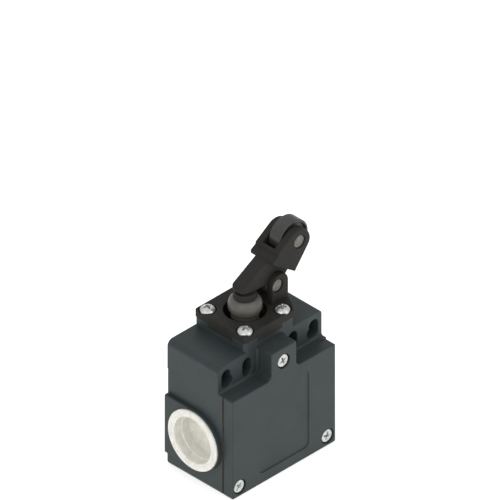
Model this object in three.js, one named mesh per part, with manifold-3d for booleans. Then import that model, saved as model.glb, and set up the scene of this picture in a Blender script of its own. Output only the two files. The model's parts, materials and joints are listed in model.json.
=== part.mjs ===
// A roller-lever limit switch: die-cast housing with two conduit entries, screwed front cover,
// operating head with a sprung plunger and a roller lever, and a four-terminal contact block.
// Millimetres, +Z up. The origin is on the base plane, under the plunger's axis;
// +X runs to the right along the front cover and +Y towards the mounting face.
import * as THREE from 'three';
import { mergeVertices } from 'three/addons/utils/BufferGeometryUtils.js';
import Module from 'manifold-3d';

const wasm = await Module();
wasm.setup();

// ---------------------------------------------------------------- driving dimensions

const GAP = 0.3;
const RUNNING_GAP = 0.1;

// How many sides a round piece has, by its size, and how many steps an arc of an outline has.
const SIDES = { broad: 48, round: 32, fine: 20, bore: 32, casting: 16, shank: 10 };
const ARC = { casting: 2, corner: 5, slot: 4, round: 12, boss: 6 };

// M3 screws throughout: a plain shank in a plain hole, heads with a narrow recess.
const M3 = { shank: 1.4, hole: 1.7, headRadius: 2.5, headHeight: 1.8, recessHalf: 0.35, edge: 0.3 };

const HOUSING = {
  halfWidth: 25, rear: 12.5, rim: -14.1, flange: -12, top: 51.5, ledge: 41,
  leftRound: 2.4, rightRound: 1.5, baseRound: 1.6,
};
const RELIEF = { depth: 0.45, low: 5, high: 40 };
const CAVITY = { halfWidth: 21.5, rear: 8.6, low: 3.5, high: 38.2, round: 3, screwPost: 3.7 };
const ENTRY = { y: -1.8, z: 17.9, bossRadius: 12, bossRise: 1.6, bore: 9.6 };
const COVER = {
  front: -18.8, back: -14.6, halfWidth: 24.75, low: 0.3, shoulder: 40.8, top: 51.4,
  cornerRound: 0.6, tabRound: 0.5, wall: 1.8, gasketInset: 0.15,
};
const TAB = { halfWidth: 6, fillet: 2 };
const WINDOW = { halfWidth: 20.6, low: 4.5, high: 36.8, round: 2.5, screwPost: 4 };
const PANEL = { halfWidth: 12, low: 4.5, high: 36.2, depth: 0.35, round: 2 };
const COVER_SCREWS = [
  { name: 'cover_screw_top', x: 0, z: 45.8, holeEnd: -8.4 },
  { name: 'cover_screw_left', x: -21.1, z: 4, holeEnd: -5 },
  { name: 'cover_screw_right', x: 21.1, z: 4, holeEnd: -5 },
];
const COVER_HEAD = { sunk: 0.5, counterbore: 2.85, shank: 7.5 };
const COVER_SEAT = COVER.front + COVER_HEAD.sunk + M3.headHeight;

const SLOT = { radius: 2.15, travel: 3, z: 45.5, xs: [-21, -11, 11, 21], bulgeX: 20, bulgeZ: 44.1 };
const TURRET = { half: 12, rear: 12.4, chamfer: 1, top: 55.3, notchFloor: 53.5 };
const HEAD = {
  top: 58.2, wellRadius: 7.5, noseRadius: 16.6, rightRound: 0.3,
  skirtHalf: 5.8, skirt: 2.3, rearSkirt: 1.8,
};
const HEAD_SCREW = { offset: 9, headRadius: 2.7, recessRadius: 3.15, seat: 57.4, top: 59.6, end: 51 };
const HEAD_GASKET = { inner: 7.6, outer: 9.2, thickness: 0.9 };

const BOOT = {
  radius: 6, wall: 1.2, flangeRadius: 7.3, flange: 1.2, low: 50, shoulder: 60.3, top: 63.5, neck: 2.6,
};
const PLUNGER = {
  rod: 2, rodLow: 38.2, rodTop: 65, collar: 0.8, capRadius: 4.2, capLow: 63.6, capTop: 66, capLip: 1.1,
};
const SEAT = { radius: 4.3, low: 60.6, height: 0.8 };
const BUSH = { radius: 4.2, bore: 2.1, low: 41, top: 50, flangeRadius: 4.6, flange: 1.2 };
const PLUNGER_SPRING = { radius: 3.5, wire: 0.35, turns: 6 };

const PIVOT = { x: 10.8, z: 64.9, radius: 2.4, halfLength: 4.6 };
const EAR = { inner: 2.95, outer: 5.1, left: 8, right: 15.9, roundZ: 65.25 };
const ARM = {
  halfWidth: 2.85, end: -4.6, noseStart: 2, low: 66.05, tipLow: 67.75, hubRadius: 3.7,
  topZ: 75.95, topX: 7.6, topSlope: 0.606,
  web: [[17.7, 67.1], [20.4, 71], [16, 80], [12, 77.9]],
};
const FORK = {
  halfWidth: 5.6, slotHalf: 2.9, slotStart: 11.3, slotFloor: 76.2, rollerRoom: 0.9,
  left: 8.05, leftLow: 75, corner: [18.6, 67.35], stepX: 10.4, stepTop: 78.45,
};
// The fork's round end: a tighter arc at the right runs into a wider one over the top.
const FORK_END = { centre: [21.55, 78.15], radius: 4.3, from: -36.7, to: 28 };
const FORK_CROWN = { centre: [20.1, 78.1], radius: 5.65, from: 28, to: 122 };
const ROLLER = {
  x: 20.8, z: 78.6, radius: 6.95, halfWidth: 2.65, chamfer: 0.4,
  dish: 1.2, draft: 0.25, hubWall: 0.9, rimWall: 0.8,
};
const ROLLER_PIN = { radius: 2.45, halfLength: 5.2 };

const CAP = {
  flangeRadius: 11.65, flange: 0.9, neckRadius: 9.3, neckChamfer: 0.8,
  cupRadius: 8.5, depth: 7.6, floor: 1, step: 0.3, stepDepth: 3.6,
};

const BLOCK = {
  halfWidth: 16, low: 12, high: 36.5, front: -7.6, split: 0,
  chamberHalf: 10.6, chamberLow: 14, chamberHigh: 34.5, chamberFront: -2.4, chamberBack: 4.8,
};
const BLOCK_SCREW = { x: 13.3, z: 24.4, reach: 2.2 };
const POCKET = { inner: 8.2, back: -3.3, ranges: [[13.2, 21.2], [27.6, 35.4]] };
const TERMINALS = [
  { label: 'no_left', side: -1, low: 14.2, tongue: 17.8 },
  { label: 'no_right', side: 1, low: 14.2, tongue: 17.8 },
  { label: 'nc_left', side: -1, low: 28.4, tongue: 30.5 },
  { label: 'nc_right', side: 1, low: 28.4, tongue: 30.5 },
];
const TERMINAL = {
  height: 6.4, plate: 1, front: -4.4, inner: 8.6, outer: 15.4,
  tongueOuter: 10.4, tongueEnd: 1.4, tongueThickness: 0.8,
};
const TERMINAL_SCREW = { x: 12.3, headRadius: 2.6, headHeight: 1.7, reach: 0.9 };
const WASHER = { half: 2.9, thickness: 0.8, lift: 1.2 };
const CARRIER = {
  halfX: 3.6, halfY: 3, low: 18.6, high: 32.4, stem: 2.2, stemTop: 37.9,
  pocket: 21.8, pocketRadius: 2.2, play: 0.2, stemPlay: 0.4,
};
const BRIDGE = {
  halfX: 10.2, halfY: 1.5, thickness: 0.6, upper: 29.8, lower: 22.6, overtravel: 1.9, seatPlay: 0.1,
};
const BUTTON = { x: 9.3, radius: 0.7, rise: 0.05, root: 0.2 };
const CARRIER_SPRING = { radius: 1.6, wire: 0.22, turns: 6 };
const EARTH = { z: 7.6, bossRadius: 3.6, bossFront: 3.5, shank: 5.2 };

// ---------------------------------------------------------------- solids

// The mesh with shared vertices merged, flat triangles dropped and its faces turned outwards.
function welded(geometry) {
  const plain = geometry.clone();
  plain.deleteAttribute('normal');
  plain.deleteAttribute('uv');
  const merged = mergeVertices(plain, 1e-4);
  const position = merged.getAttribute('position');
  const corner = [0, 1, 2].map(() => new THREE.Vector3());
  const kept = [];
  let volume = 0;
  for (let i = 0; i < merged.index.count; i += 3) {
    const triangle = [0, 1, 2].map((k) => merged.index.getX(i + k));
    if (new Set(triangle).size < 3) continue;
    triangle.forEach((vertex, k) => corner[k].fromBufferAttribute(position, vertex));
    volume += corner[0].dot(corner[1].clone().cross(corner[2]));
    kept.push(triangle);
  }
  const outward = volume > 0 ? kept : kept.map(([a, b, c]) => [a, c, b]);
  merged.setIndex(outward.flat());
  return merged;
}

function solid(geometry) {
  const mesh = welded(geometry);
  return new wasm.Manifold(new wasm.Mesh({
    numProp: 3,
    vertProperties: new Float32Array(mesh.getAttribute('position').array),
    triVerts: new Uint32Array(mesh.index.array),
  }));
}

function toGeometry(manifold) {
  const mesh = manifold.getMesh();
  const geometry = new THREE.BufferGeometry();
  geometry.setAttribute('position', new THREE.BufferAttribute(mesh.vertProperties, 3));
  geometry.setIndex(new THREE.BufferAttribute(mesh.triVerts, 1));
  return geometry;
}

function box([x0, x1], [y0, y1], [z0, z1]) {
  const geometry = new THREE.BoxGeometry(x1 - x0, y1 - y0, z1 - z0);
  geometry.translate((x0 + x1) / 2, (y0 + y1) / 2, (z0 + z1) / 2);
  return solid(geometry);
}

// Each axis letter turns a shape's own x, y and extrusion onto the part's axes.
const PLANES = {
  x: new THREE.Matrix4().makeBasis(axisVector(0, 1, 0), axisVector(0, 0, 1), axisVector(1, 0, 0)),
  y: new THREE.Matrix4().makeBasis(axisVector(1, 0, 0), axisVector(0, 0, 1), axisVector(0, -1, 0)),
  z: new THREE.Matrix4(),
};

function axisVector(x, y, z) {
  return new THREE.Vector3(x, y, z);
}

// Extrudes an outline along an axis: outlines are (y, z) for x, (x, z) for y and (x, y) for z.
function extrude(shape, axis, [from, to], curveSegments = ARC.corner) {
  const depth = to - from;
  const geometry = new THREE.ExtrudeGeometry(shape, { depth, bevelEnabled: false, curveSegments });
  geometry.translate(0, 0, axis === 'y' ? -to : from);
  geometry.applyMatrix4(PLANES[axis]);
  return solid(geometry);
}

// A cylinder whose two centre coordinates are those of the plane the axis stands on.
function cylinder(radius, axis, [from, to], [u, v], sides = SIDES.round) {
  const geometry = new THREE.CylinderGeometry(radius, radius, to - from, sides);
  geometry.rotateX(Math.PI / 2);
  geometry.translate(u, v, axis === 'y' ? -(from + to) / 2 : (from + to) / 2);
  geometry.applyMatrix4(PLANES[axis]);
  return solid(geometry);
}

// A turned piece: the profile is [radius, height] pairs, heights along the axis.
function turned(profile, axis, [u, v], sides = SIDES.round) {
  const along = axis === 'y' ? -1 : 1;
  const points = profile.map(([radius, height]) => new THREE.Vector2(radius, along * height));
  const geometry = new THREE.LatheGeometry(points, sides);
  geometry.rotateX(Math.PI / 2);
  geometry.translate(u, v, 0);
  geometry.applyMatrix4(PLANES[axis]);
  return solid(geometry);
}

// An outline of [x, y, radius] corners, each rounded by its own radius.
function rounded(corners) {
  const shape = new THREE.Shape();
  corners.forEach(([x, y, radius], i) => {
    const point = new THREE.Vector2(x, y);
    if (!radius) {
      if (i === 0) shape.moveTo(x, y);
      else shape.lineTo(x, y);
      return;
    }
    const before = corners[(i + corners.length - 1) % corners.length];
    const after = corners[(i + 1) % corners.length];
    const back = new THREE.Vector2(before[0], before[1]).sub(point).normalize();
    const ahead = new THREE.Vector2(after[0], after[1]).sub(point).normalize();
    const half = Math.acos(THREE.MathUtils.clamp(back.dot(ahead), -1, 1)) / 2;
    const centre = back.clone().add(ahead).normalize().multiplyScalar(radius / Math.sin(half)).add(point);
    const start = back.clone().multiplyScalar(radius / Math.tan(half)).add(point);
    const end = ahead.clone().multiplyScalar(radius / Math.tan(half)).add(point);
    const clockwise = back.cross(ahead) > 0;
    if (i === 0) shape.moveTo(start.x, start.y);
    const angleTo = (p) => Math.atan2(p.y - centre.y, p.x - centre.x);
    shape.absarc(centre.x, centre.y, radius, angleTo(start), angleTo(end), clockwise);
  });
  return shape;
}

function roundedRectangle([x0, x1], [y0, y1], radius) {
  return rounded([[x0, y0, radius], [x1, y0, radius], [x1, y1, radius], [x0, y1, radius]]);
}

// A pill shape that stands upright on its centre.
function stadium(x, y, radius, travel) {
  const shape = new THREE.Shape();
  shape.absarc(x, y + travel / 2, radius, 0, Math.PI, false);
  shape.absarc(x, y - travel / 2, radius, Math.PI, 2 * Math.PI, false);
  return shape;
}

// The closed profile of a plain ring.
function tubeProfile(inner, outer, low, high) {
  return [[inner, low], [outer, low], [outer, high], [inner, high], [inner, low]];
}

function union(solids) {
  return solids.reduce((sum, next) => sum.add(next));
}

function cut(body, tools) {
  return tools.reduce((rest, tool) => rest.subtract(tool), body);
}

// A round coil spring as one tube along a helix, its ends a little flattened towards the seats.
function coil({ radius, wire, turns }, [low, high]) {
  const rise = high - low - 2 * wire;
  const stepsPerTurn = 10;
  class Helix extends THREE.Curve {
    getPoint(t, target = new THREE.Vector3()) {
      const angle = t * turns * 2 * Math.PI;
      const settled = THREE.MathUtils.smoothstep(t, 0, 1);
      const height = 0.75 * t + 0.25 * settled;
      return target.set(radius * Math.cos(angle), radius * Math.sin(angle), low + wire + rise * height);
    }
  }
  const section = new THREE.Shape();
  section.absarc(0, 0, wire, 0, 2 * Math.PI, false);
  return solid(new THREE.ExtrudeGeometry(section, {
    steps: turns * stepsPerTurn, extrudePath: new Helix(), curveSegments: 2, bevelEnabled: false,
  }));
}

// ---------------------------------------------------------------- screws

// The cut-out of a cross or a single slot, from a depth upwards.
function recess(armLength, depthZ, slotted) {
  const arm = [-armLength, armLength];
  const blade = [-M3.recessHalf, M3.recessHalf];
  const height = [depthZ, depthZ + 3];
  const cuts = [box(arm, blade, height)];
  if (!slotted) cuts.push(box(blade, arm, height));
  return cuts;
}

// A domed screw with a cross recess, drawn along +Z with its head's underside at zero.
function panScrew(headRadius, headHeight, shankLength) {
  const profile = [
    [0, -shankLength], [M3.shank, -shankLength], [M3.shank, 0], [headRadius, 0],
    [headRadius, headHeight * 0.35], [headRadius * 0.9, headHeight * 0.72],
    [headRadius * 0.6, headHeight * 0.95], [0, headHeight],
  ];
  return cut(turned(profile, 'z', [0, 0], SIDES.fine), recess(headRadius * 0.6, headHeight * 0.45, false));
}

// A flat-faced screw, drawn like the domed one.
function cheeseScrew(headRadius, headHeight, shankLength, slotted = false) {
  const profile = [
    [0, -shankLength], [M3.shank, -shankLength], [M3.shank, 0], [headRadius, 0],
    [headRadius, headHeight - M3.edge], [headRadius - M3.edge, headHeight], [0, headHeight],
  ];
  const arm = slotted ? headRadius + 1 : headRadius * 0.6;
  return cut(turned(profile, 'z', [0, 0], SIDES.fine), recess(arm, headHeight * 0.5, slotted));
}

// ---------------------------------------------------------------- housing and cover

function housing() {
  const h = HOUSING;
  const outline = rounded([
    [-h.halfWidth, 0, h.baseRound], [h.halfWidth, 0, h.baseRound],
    [h.halfWidth, h.top, h.rightRound], [-h.halfWidth, h.top, h.leftRound],
  ]);
  const rimOutline = rounded([
    [-h.halfWidth, 0, h.baseRound], [h.halfWidth, 0, h.baseRound],
    [h.halfWidth, h.ledge, 0], [TAB.halfWidth, h.ledge, TAB.fillet],
    [TAB.halfWidth, h.top, 0], [-TAB.halfWidth, h.top, 0],
    [-TAB.halfWidth, h.ledge, TAB.fillet], [-h.halfWidth, h.ledge, 0],
  ]);
  const body = union([
    extrude(outline, 'y', [h.flange, h.rear], ARC.casting),
    extrude(rimOutline, 'y', [h.rim, h.flange], ARC.casting),
    turret(),
    ...[-1, 1].map(entryBoss),
  ]);
  const hollow = cut(
    extrude(roundedRectangle([-CAVITY.halfWidth, CAVITY.halfWidth], [CAVITY.low, CAVITY.high], CAVITY.round),
      'y', [h.rim - 1, CAVITY.rear], ARC.casting),
    [
      ...screwPosts(CAVITY.screwPost, [h.rim, CAVITY.rear]),
      cylinder(EARTH.bossRadius, 'y', [EARTH.bossFront, CAVITY.rear], [0, EARTH.z], SIDES.casting),
    ],
  );
  const reliefWidth = [-h.halfWidth - 2, h.halfWidth + 2];
  return cut(body, [
    hollow,
    box(reliefWidth, [h.rear - RELIEF.depth, h.rear + 1], [RELIEF.low, RELIEF.high]),
    ...[-1, 1].map((side) => entryBore(side)),
    ...headBores(),
    ...fixingSlots(),
    ...screwHoles(),
  ]);
}

// The round posts that the two lower cover screws go into.
function screwPosts(radius, span) {
  return COVER_SCREWS.slice(1).map(({ x, z }) => cylinder(radius, 'y', span, [x, z], SIDES.casting));
}

function turret() {
  const { half, rear, chamfer } = TURRET;
  const outline = new THREE.Shape([
    [-half + chamfer, -half], [half - chamfer, -half], [half, -half + chamfer], [half, rear - chamfer],
    [half - chamfer, rear], [-half + chamfer, rear], [-half, rear - chamfer], [-half, -half + chamfer],
  ].map(([x, y]) => new THREE.Vector2(x, y)));
  const floor = [TURRET.notchFloor, TURRET.top + 1];
  const span = [-HEAD.skirtHalf - RUNNING_GAP, HEAD.skirtHalf + RUNNING_GAP];
  const depth = HEAD.skirt + RUNNING_GAP;
  const rearDepth = HEAD.rearSkirt + RUNNING_GAP;
  return cut(extrude(outline, 'z', [HOUSING.top - 1, TURRET.top]), [
    box(span, [-half - 1, -half + depth], floor),
    box(span, [rear - rearDepth, rear + 1], floor),
    box([-half - 1, -half + depth], span, floor),
    box([half - depth, half + 1], span, floor),
  ]);
}

// The raised pad round a conduit entry: a half disc that runs straight on to the rear face.
function entryBoss(side) {
  const shape = new THREE.Shape();
  shape.moveTo(HOUSING.rear, ENTRY.z - ENTRY.bossRadius);
  shape.lineTo(HOUSING.rear, ENTRY.z + ENTRY.bossRadius);
  shape.absarc(ENTRY.y, ENTRY.z, ENTRY.bossRadius, Math.PI / 2, 1.5 * Math.PI, false);
  const outer = HOUSING.halfWidth + ENTRY.bossRise;
  const inner = CAVITY.halfWidth + 1;
  return extrude(shape, 'x', side > 0 ? [inner, outer] : [-outer, -inner], ARC.boss);
}

function entryBore(side) {
  const span = [CAVITY.halfWidth - 1, HOUSING.halfWidth + 3];
  return cylinder(ENTRY.bore, 'x', side > 0 ? span : [-span[1], -span[0]], [ENTRY.y, ENTRY.z], SIDES.bore);
}

function headBores() {
  const above = TURRET.top + 1;
  const rebate = TURRET.top - HEAD_GASKET.thickness;
  const corner = [-HEAD_SCREW.offset, HEAD_SCREW.offset];
  return [
    cylinder(BUSH.radius + RUNNING_GAP, 'z', [CAVITY.high - 1, above], [0, 0], SIDES.casting),
    cylinder(HEAD.wellRadius, 'z', [BOOT.low, above], [0, 0], SIDES.bore),
    cylinder(HEAD_GASKET.outer + RUNNING_GAP, 'z', [rebate, above], [0, 0], SIDES.bore),
    ...corner.flatMap((x) => corner.map((y) => (
      cylinder(M3.hole, 'z', [HEAD_SCREW.end - GAP, above], [x, y], SIDES.shank)))),
  ];
}

function fixingSlots() {
  const through = [HOUSING.flange - 1, HOUSING.rear + 1];
  const slots = SLOT.xs.map((x) => extrude(stadium(x, SLOT.z, SLOT.radius, SLOT.travel), 'y', through, ARC.slot));
  const bulges = [-1, 1].map((side) => (
    cylinder(SLOT.radius, 'y', through, [side * SLOT.bulgeX, SLOT.bulgeZ], SIDES.casting)));
  return [...slots, ...bulges];
}

function screwHoles() {
  const hole = (x, z, from, to) => cylinder(M3.hole, 'y', [from, to], [x, z], SIDES.shank);
  const { rear } = CAVITY;
  return [
    ...COVER_SCREWS.map(({ x, z, holeEnd }) => hole(x, z, HOUSING.rim - 1, holeEnd)),
    ...[-1, 1].map((side) => (
      hole(side * BLOCK_SCREW.x, BLOCK_SCREW.z, rear - 1, rear + BLOCK_SCREW.reach + GAP))),
    hole(0, EARTH.z, EARTH.bossFront - 1, rear),
  ];
}

// The front face's outline: a rectangle with a narrow tab standing on its top edge.
function coverOutline(inset = 0) {
  const c = COVER;
  const width = c.halfWidth - inset;
  const tab = TAB.halfWidth - inset;
  return rounded([
    [-width, c.low + inset, c.cornerRound], [width, c.low + inset, c.cornerRound],
    [width, c.shoulder - inset, c.cornerRound], [tab, c.shoulder - inset, TAB.fillet],
    [tab, c.top - inset, c.tabRound], [-tab, c.top - inset, c.tabRound],
    [-tab, c.shoulder - inset, TAB.fillet], [-width, c.shoulder - inset, c.cornerRound],
  ]);
}

// The hollow behind the cover, which leaves the two lower screw posts standing.
function coverWindow(span) {
  const { halfWidth, low, high, round } = WINDOW;
  return cut(extrude(roundedRectangle([-halfWidth, halfWidth], [low, high], round), 'y', span),
    screwPosts(WINDOW.screwPost, [span[0] - 1, span[1] + 1]));
}

function coverGasket() {
  const span = [COVER.back, HOUSING.rim];
  const past = [COVER.back - 1, HOUSING.rim + 1];
  return cut(extrude(coverOutline(COVER.gasketInset), 'y', span), [
    coverWindow(past),
    ...COVER_SCREWS.map(({ x, z }) => cylinder(M3.hole, 'y', past, [x, z], SIDES.shank)),
  ]);
}

function frontCover() {
  const panel = roundedRectangle([-PANEL.halfWidth, PANEL.halfWidth], [PANEL.low, PANEL.high], PANEL.round);
  return cut(extrude(coverOutline(), 'y', [COVER.front, COVER.back]), [
    coverWindow([COVER.front + COVER.wall, COVER.back + 1]),
    extrude(panel, 'y', [COVER.front - 1, COVER.front + PANEL.depth]),
    ...COVER_SCREWS.flatMap(({ x, z }) => [
      cylinder(COVER_HEAD.counterbore, 'y', [COVER.front - 1, COVER_SEAT], [x, z], SIDES.fine),
      cylinder(M3.hole, 'y', [COVER.front, COVER.back + 1], [x, z], SIDES.shank),
    ]),
  ]);
}

// ---------------------------------------------------------------- operating head

function headBody() {
  const { half, rear, chamfer, top } = TURRET;
  const outline = rounded([
    [-half, -half, chamfer], [half, -half, HEAD.rightRound],
    [half, rear, HEAD.rightRound], [-half, rear, chamfer],
  ]);
  const plate = union([
    extrude(outline, 'z', [top, HEAD.top]),
    cylinder(HEAD.noseRadius, 'z', [top, HEAD.top], [0, 0], 2 * SIDES.broad)
      .intersect(box([half - 1, HEAD.noseRadius + 1], [-half, rear], [top, HEAD.top])),
  ]);
  const skirtZ = [TURRET.notchFloor, top + 1];
  const span = [-HEAD.skirtHalf, HEAD.skirtHalf];
  const skirts = [
    box(span, [-half, -half + HEAD.skirt], skirtZ),
    box(span, [rear - HEAD.rearSkirt, rear], skirtZ),
    box([-half, -half + HEAD.skirt], span, skirtZ),
    box([half - HEAD.skirt, half], span, skirtZ),
  ];
  const corner = [-HEAD_SCREW.offset, HEAD_SCREW.offset];
  return cut(union([plate, ...skirts, ear(-1), ear(1)]), [
    cylinder(HEAD.wellRadius, 'z', [top - 3, HEAD.top + 1], [0, 0], SIDES.broad),
    cylinder(PIVOT.radius + RUNNING_GAP, 'y', [-half, half], [PIVOT.x, PIVOT.z]),
    ...corner.flatMap((x) => corner.flatMap((y) => [
      cylinder(M3.hole, 'z', [top - 1, HEAD.top], [x, y], SIDES.shank),
      cylinder(HEAD_SCREW.recessRadius, 'z', [HEAD_SCREW.seat, HEAD.top + 1], [x, y], SIDES.fine),
    ])),
  ]);
}

// One of the two lugs that carry the lever's pivot, with a round top.
function ear(side) {
  const radius = (EAR.right - EAR.left) / 2;
  const shape = new THREE.Shape();
  shape.moveTo(EAR.left, HEAD.top - 1);
  shape.lineTo(EAR.right, HEAD.top - 1);
  shape.absarc(EAR.left + radius, EAR.roundZ, radius, 0, Math.PI, false);
  return extrude(shape, 'y', side > 0 ? [EAR.inner, EAR.outer] : [-EAR.outer, -EAR.inner], ARC.round);
}

function headGasket() {
  const { inner, outer, thickness } = HEAD_GASKET;
  return turned(tubeProfile(inner, outer, TURRET.top - thickness, TURRET.top), 'z', [0, 0], SIDES.broad);
}

// A hollow rubber boot: flange, straight skirt and a dome that grips the plunger rod.
function plungerBoot() {
  const { radius, wall, flangeRadius, flange, low, shoulder, top, neck } = BOOT;
  const steps = 4;
  const dome = (wide, narrow, from, to) => Array.from({ length: steps + 1 }, (_, step) => {
    const angle = (step / steps) * (Math.PI / 2);
    return [narrow + (wide - narrow) * Math.cos(angle), from + (to - from) * Math.sin(angle)];
  });
  const lip = neck - 0.4;
  const innerTop = top - 1.1;
  return turned([
    [radius - wall, low], [flangeRadius, low], [flangeRadius, low + flange], [radius, low + flange + 0.6],
    ...dome(radius, neck + wall, shoulder, top), [lip, top], [lip, innerTop],
    ...dome(radius - wall, neck, shoulder - 0.4, innerTop).reverse(), [radius - wall, low],
  ], 'z', [0, 0]);
}

function plungerCap() {
  const { capRadius, capLow, capTop, capLip } = PLUNGER;
  const crown = capRadius - 0.2;
  const lipTop = capLow + capLip;
  const body = turned([
    [0, capLow], [capRadius - 0.5, capLow], [capRadius, capLow + 0.5], [capRadius, lipTop],
    [crown, lipTop + 0.2], [crown, capTop - 0.4], [crown - 0.4, capTop], [0, capTop],
  ], 'z', [0, 0]);
  return body.subtract(
    cylinder(PLUNGER.rod + GAP, 'z', [capLow - 1, PLUNGER.rodTop + 0.05], [0, 0], SIDES.fine),
  );
}

function plungerRod() {
  const { rod, rodLow, rodTop, collar } = PLUNGER;
  const seatTop = SEAT.low + SEAT.height;
  const chamfer = 0.4;
  return turned([
    [0, rodLow], [rod - chamfer, rodLow], [rod, rodLow + chamfer], [rod, seatTop],
    [rod + collar, seatTop], [rod + collar, seatTop + collar], [rod, seatTop + collar],
    [rod, rodTop], [0, rodTop],
  ], 'z', [0, 0], SIDES.fine);
}

function springSeat() {
  const { radius, low, height } = SEAT;
  const ring = tubeProfile(PLUNGER.rod + RUNNING_GAP, radius, low, low + height);
  return turned(ring, 'z', [0, 0], SIDES.fine);
}

function guideBush() {
  const { radius, bore, low, top, flangeRadius, flange } = BUSH;
  return turned([
    [bore, low], [radius, low], [radius, top], [flangeRadius, top],
    [flangeRadius, top + flange], [bore, top + flange], [bore, low],
  ], 'z', [0, 0], SIDES.fine);
}

// ---------------------------------------------------------------- lever and roller

function armTop(x) {
  return ARM.topZ + ARM.topSlope * (x - ARM.topX);
}

// The lever in its own plane: a sloping arm that ends in a curved nose over the plunger, and the hub.
function armOutline() {
  const { end, noseStart, low, tipLow, hubRadius, web } = ARM;
  const steps = 5;
  const shape = new THREE.Shape();
  shape.moveTo(end, tipLow);
  for (let step = 1; step <= steps; step += 1) {
    const t = step / steps;
    shape.lineTo(THREE.MathUtils.lerp(end, noseStart, t), low + (tipLow - low) * (1 - t) ** 2);
  }
  shape.lineTo(PIVOT.x - hubRadius, low);
  shape.absarc(PIVOT.x, PIVOT.z, hubRadius, Math.PI * 0.93, Math.PI * 1.8, false);
  web.forEach(([x, z]) => shape.lineTo(x, z));
  shape.lineTo(end, armTop(end));
  return shape;
}

// The broad end that straddles the roller, round about the roller's axis.
function forkOutline() {
  const { left, leftLow, corner, stepX, stepTop } = FORK;
  const shape = new THREE.Shape();
  shape.moveTo(left, leftLow);
  shape.lineTo(...corner);
  for (const { centre, radius, from, to } of [FORK_END, FORK_CROWN]) {
    shape.absarc(...centre, radius, THREE.MathUtils.degToRad(from), THREE.MathUtils.degToRad(to), false);
  }
  shape.lineTo(stepX, stepTop);
  shape.lineTo(stepX, armTop(stepX));
  shape.lineTo(left, armTop(left));
  return shape;
}

function lever() {
  const { end, halfWidth } = ARM;
  const across = [-FORK.halfWidth - 1, FORK.halfWidth + 1];
  const slot = [-FORK.slotHalf, FORK.slotHalf];
  const noseCentre = end + halfWidth;
  const tall = [ARM.low - 5, armTop(noseCentre) + 5];
  const arm = extrude(armOutline(), 'y', [-halfWidth, halfWidth], ARC.round);
  const fork = extrude(forkOutline(), 'y', [-FORK.halfWidth, FORK.halfWidth], ARC.round);
  const noseCut = cut(box([end - 1, noseCentre], across, tall), [
    cylinder(halfWidth, 'z', [tall[0] - 1, tall[1] + 1], [noseCentre, 0]),
  ]);
  const beyond = ROLLER.x + ROLLER.radius + 2;
  return cut(union([arm.subtract(noseCut), fork]), [
    cylinder(PIVOT.radius + RUNNING_GAP, 'y', across, [PIVOT.x, PIVOT.z]),
    cylinder(ROLLER_PIN.radius + RUNNING_GAP, 'y', across, [ROLLER.x, ROLLER.z]),
    cylinder(ROLLER.radius + FORK.rollerRoom, 'y', slot, [ROLLER.x, ROLLER.z], SIDES.broad),
    box([FORK.slotStart, beyond], slot, [FORK.slotFloor, ROLLER.z + 12]),
    box([ROLLER.x - 2, beyond], slot, [ROLLER.z - 12, ROLLER.z + 12]),
  ]);
}

// The roller's profile is drawn once for one half and mirrored: bore, hub, dished web, rim, tread.
function roller() {
  const { radius, halfWidth, chamfer, dish, draft, hubWall, rimWall } = ROLLER;
  const bore = ROLLER_PIN.radius + RUNNING_GAP;
  const half = [
    [bore, halfWidth], [bore + hubWall, halfWidth], [bore + hubWall + draft, halfWidth - dish],
    [radius - rimWall - draft, halfWidth - dish], [radius - rimWall, halfWidth],
    [radius - chamfer, halfWidth], [radius, halfWidth - chamfer],
  ];
  const mirrored = half.map(([r, y]) => [r, -y]);
  return turned([...mirrored, ...half.reverse(), mirrored[0]], 'y', [ROLLER.x, ROLLER.z]);
}

function pin({ radius, halfLength }, { x, z }) {
  const edge = 0.25;
  return turned([
    [0, -halfLength], [radius - edge, -halfLength], [radius, edge - halfLength],
    [radius, halfLength - edge], [radius - edge, halfLength], [0, halfLength],
  ], 'y', [x, z]);
}

// ---------------------------------------------------------------- conduit caps

// The plug that closes a conduit entry: a flange and a deep open cup with one step in its wall.
function conduitCap(side) {
  const { flangeRadius, flange, neckRadius, neckChamfer, cupRadius, depth, floor, step, stepDepth } = CAP;
  const face = HOUSING.halfWidth + ENTRY.bossRise;
  const front = face + flange;
  const cupFloor = front - depth;
  const edge = 0.3;
  const profile = [
    [0, cupFloor - floor], [neckRadius - neckChamfer, cupFloor - floor],
    [neckRadius, cupFloor - floor + neckChamfer], [neckRadius, face],
    [flangeRadius, face], [flangeRadius, front - edge], [flangeRadius - edge, front],
    [cupRadius + step + edge, front], [cupRadius + step, front - edge], [cupRadius + step, front - stepDepth],
    [cupRadius, front - stepDepth - step], [cupRadius, cupFloor], [0, cupFloor],
  ];
  const placed = profile.map(([radius, distance]) => [radius, side * distance]);
  return turned(placed, 'x', [ENTRY.y, ENTRY.z], SIDES.broad);
}

// ---------------------------------------------------------------- contact block

const blockZ = [BLOCK.low, BLOCK.high];
const chamberZ = [BLOCK.chamberLow, BLOCK.chamberHigh];
const chamberX = [-BLOCK.chamberHalf, BLOCK.chamberHalf];
const stemHalf = CARRIER.stem + CARRIER.stemPlay;
const stemZ = [BLOCK.chamberHigh - 1, BLOCK.high + 1];

function blockScrewHoles() {
  const { x, z } = BLOCK_SCREW;
  const through = [BLOCK.front - 1, CAVITY.rear + 1];
  return [-x, x].map((centre) => cylinder(M3.hole, 'y', through, [centre, z], SIDES.shank));
}

function contactBlockBase() {
  const { halfWidth, split, chamberBack } = BLOCK;
  return cut(box([-halfWidth, halfWidth], [split, CAVITY.rear], blockZ), [
    box(chamberX, [split - 1, chamberBack], chamberZ),
    box([-stemHalf, stemHalf], [split - 1, stemHalf], stemZ),
    ...blockScrewHoles(),
  ]);
}

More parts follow.
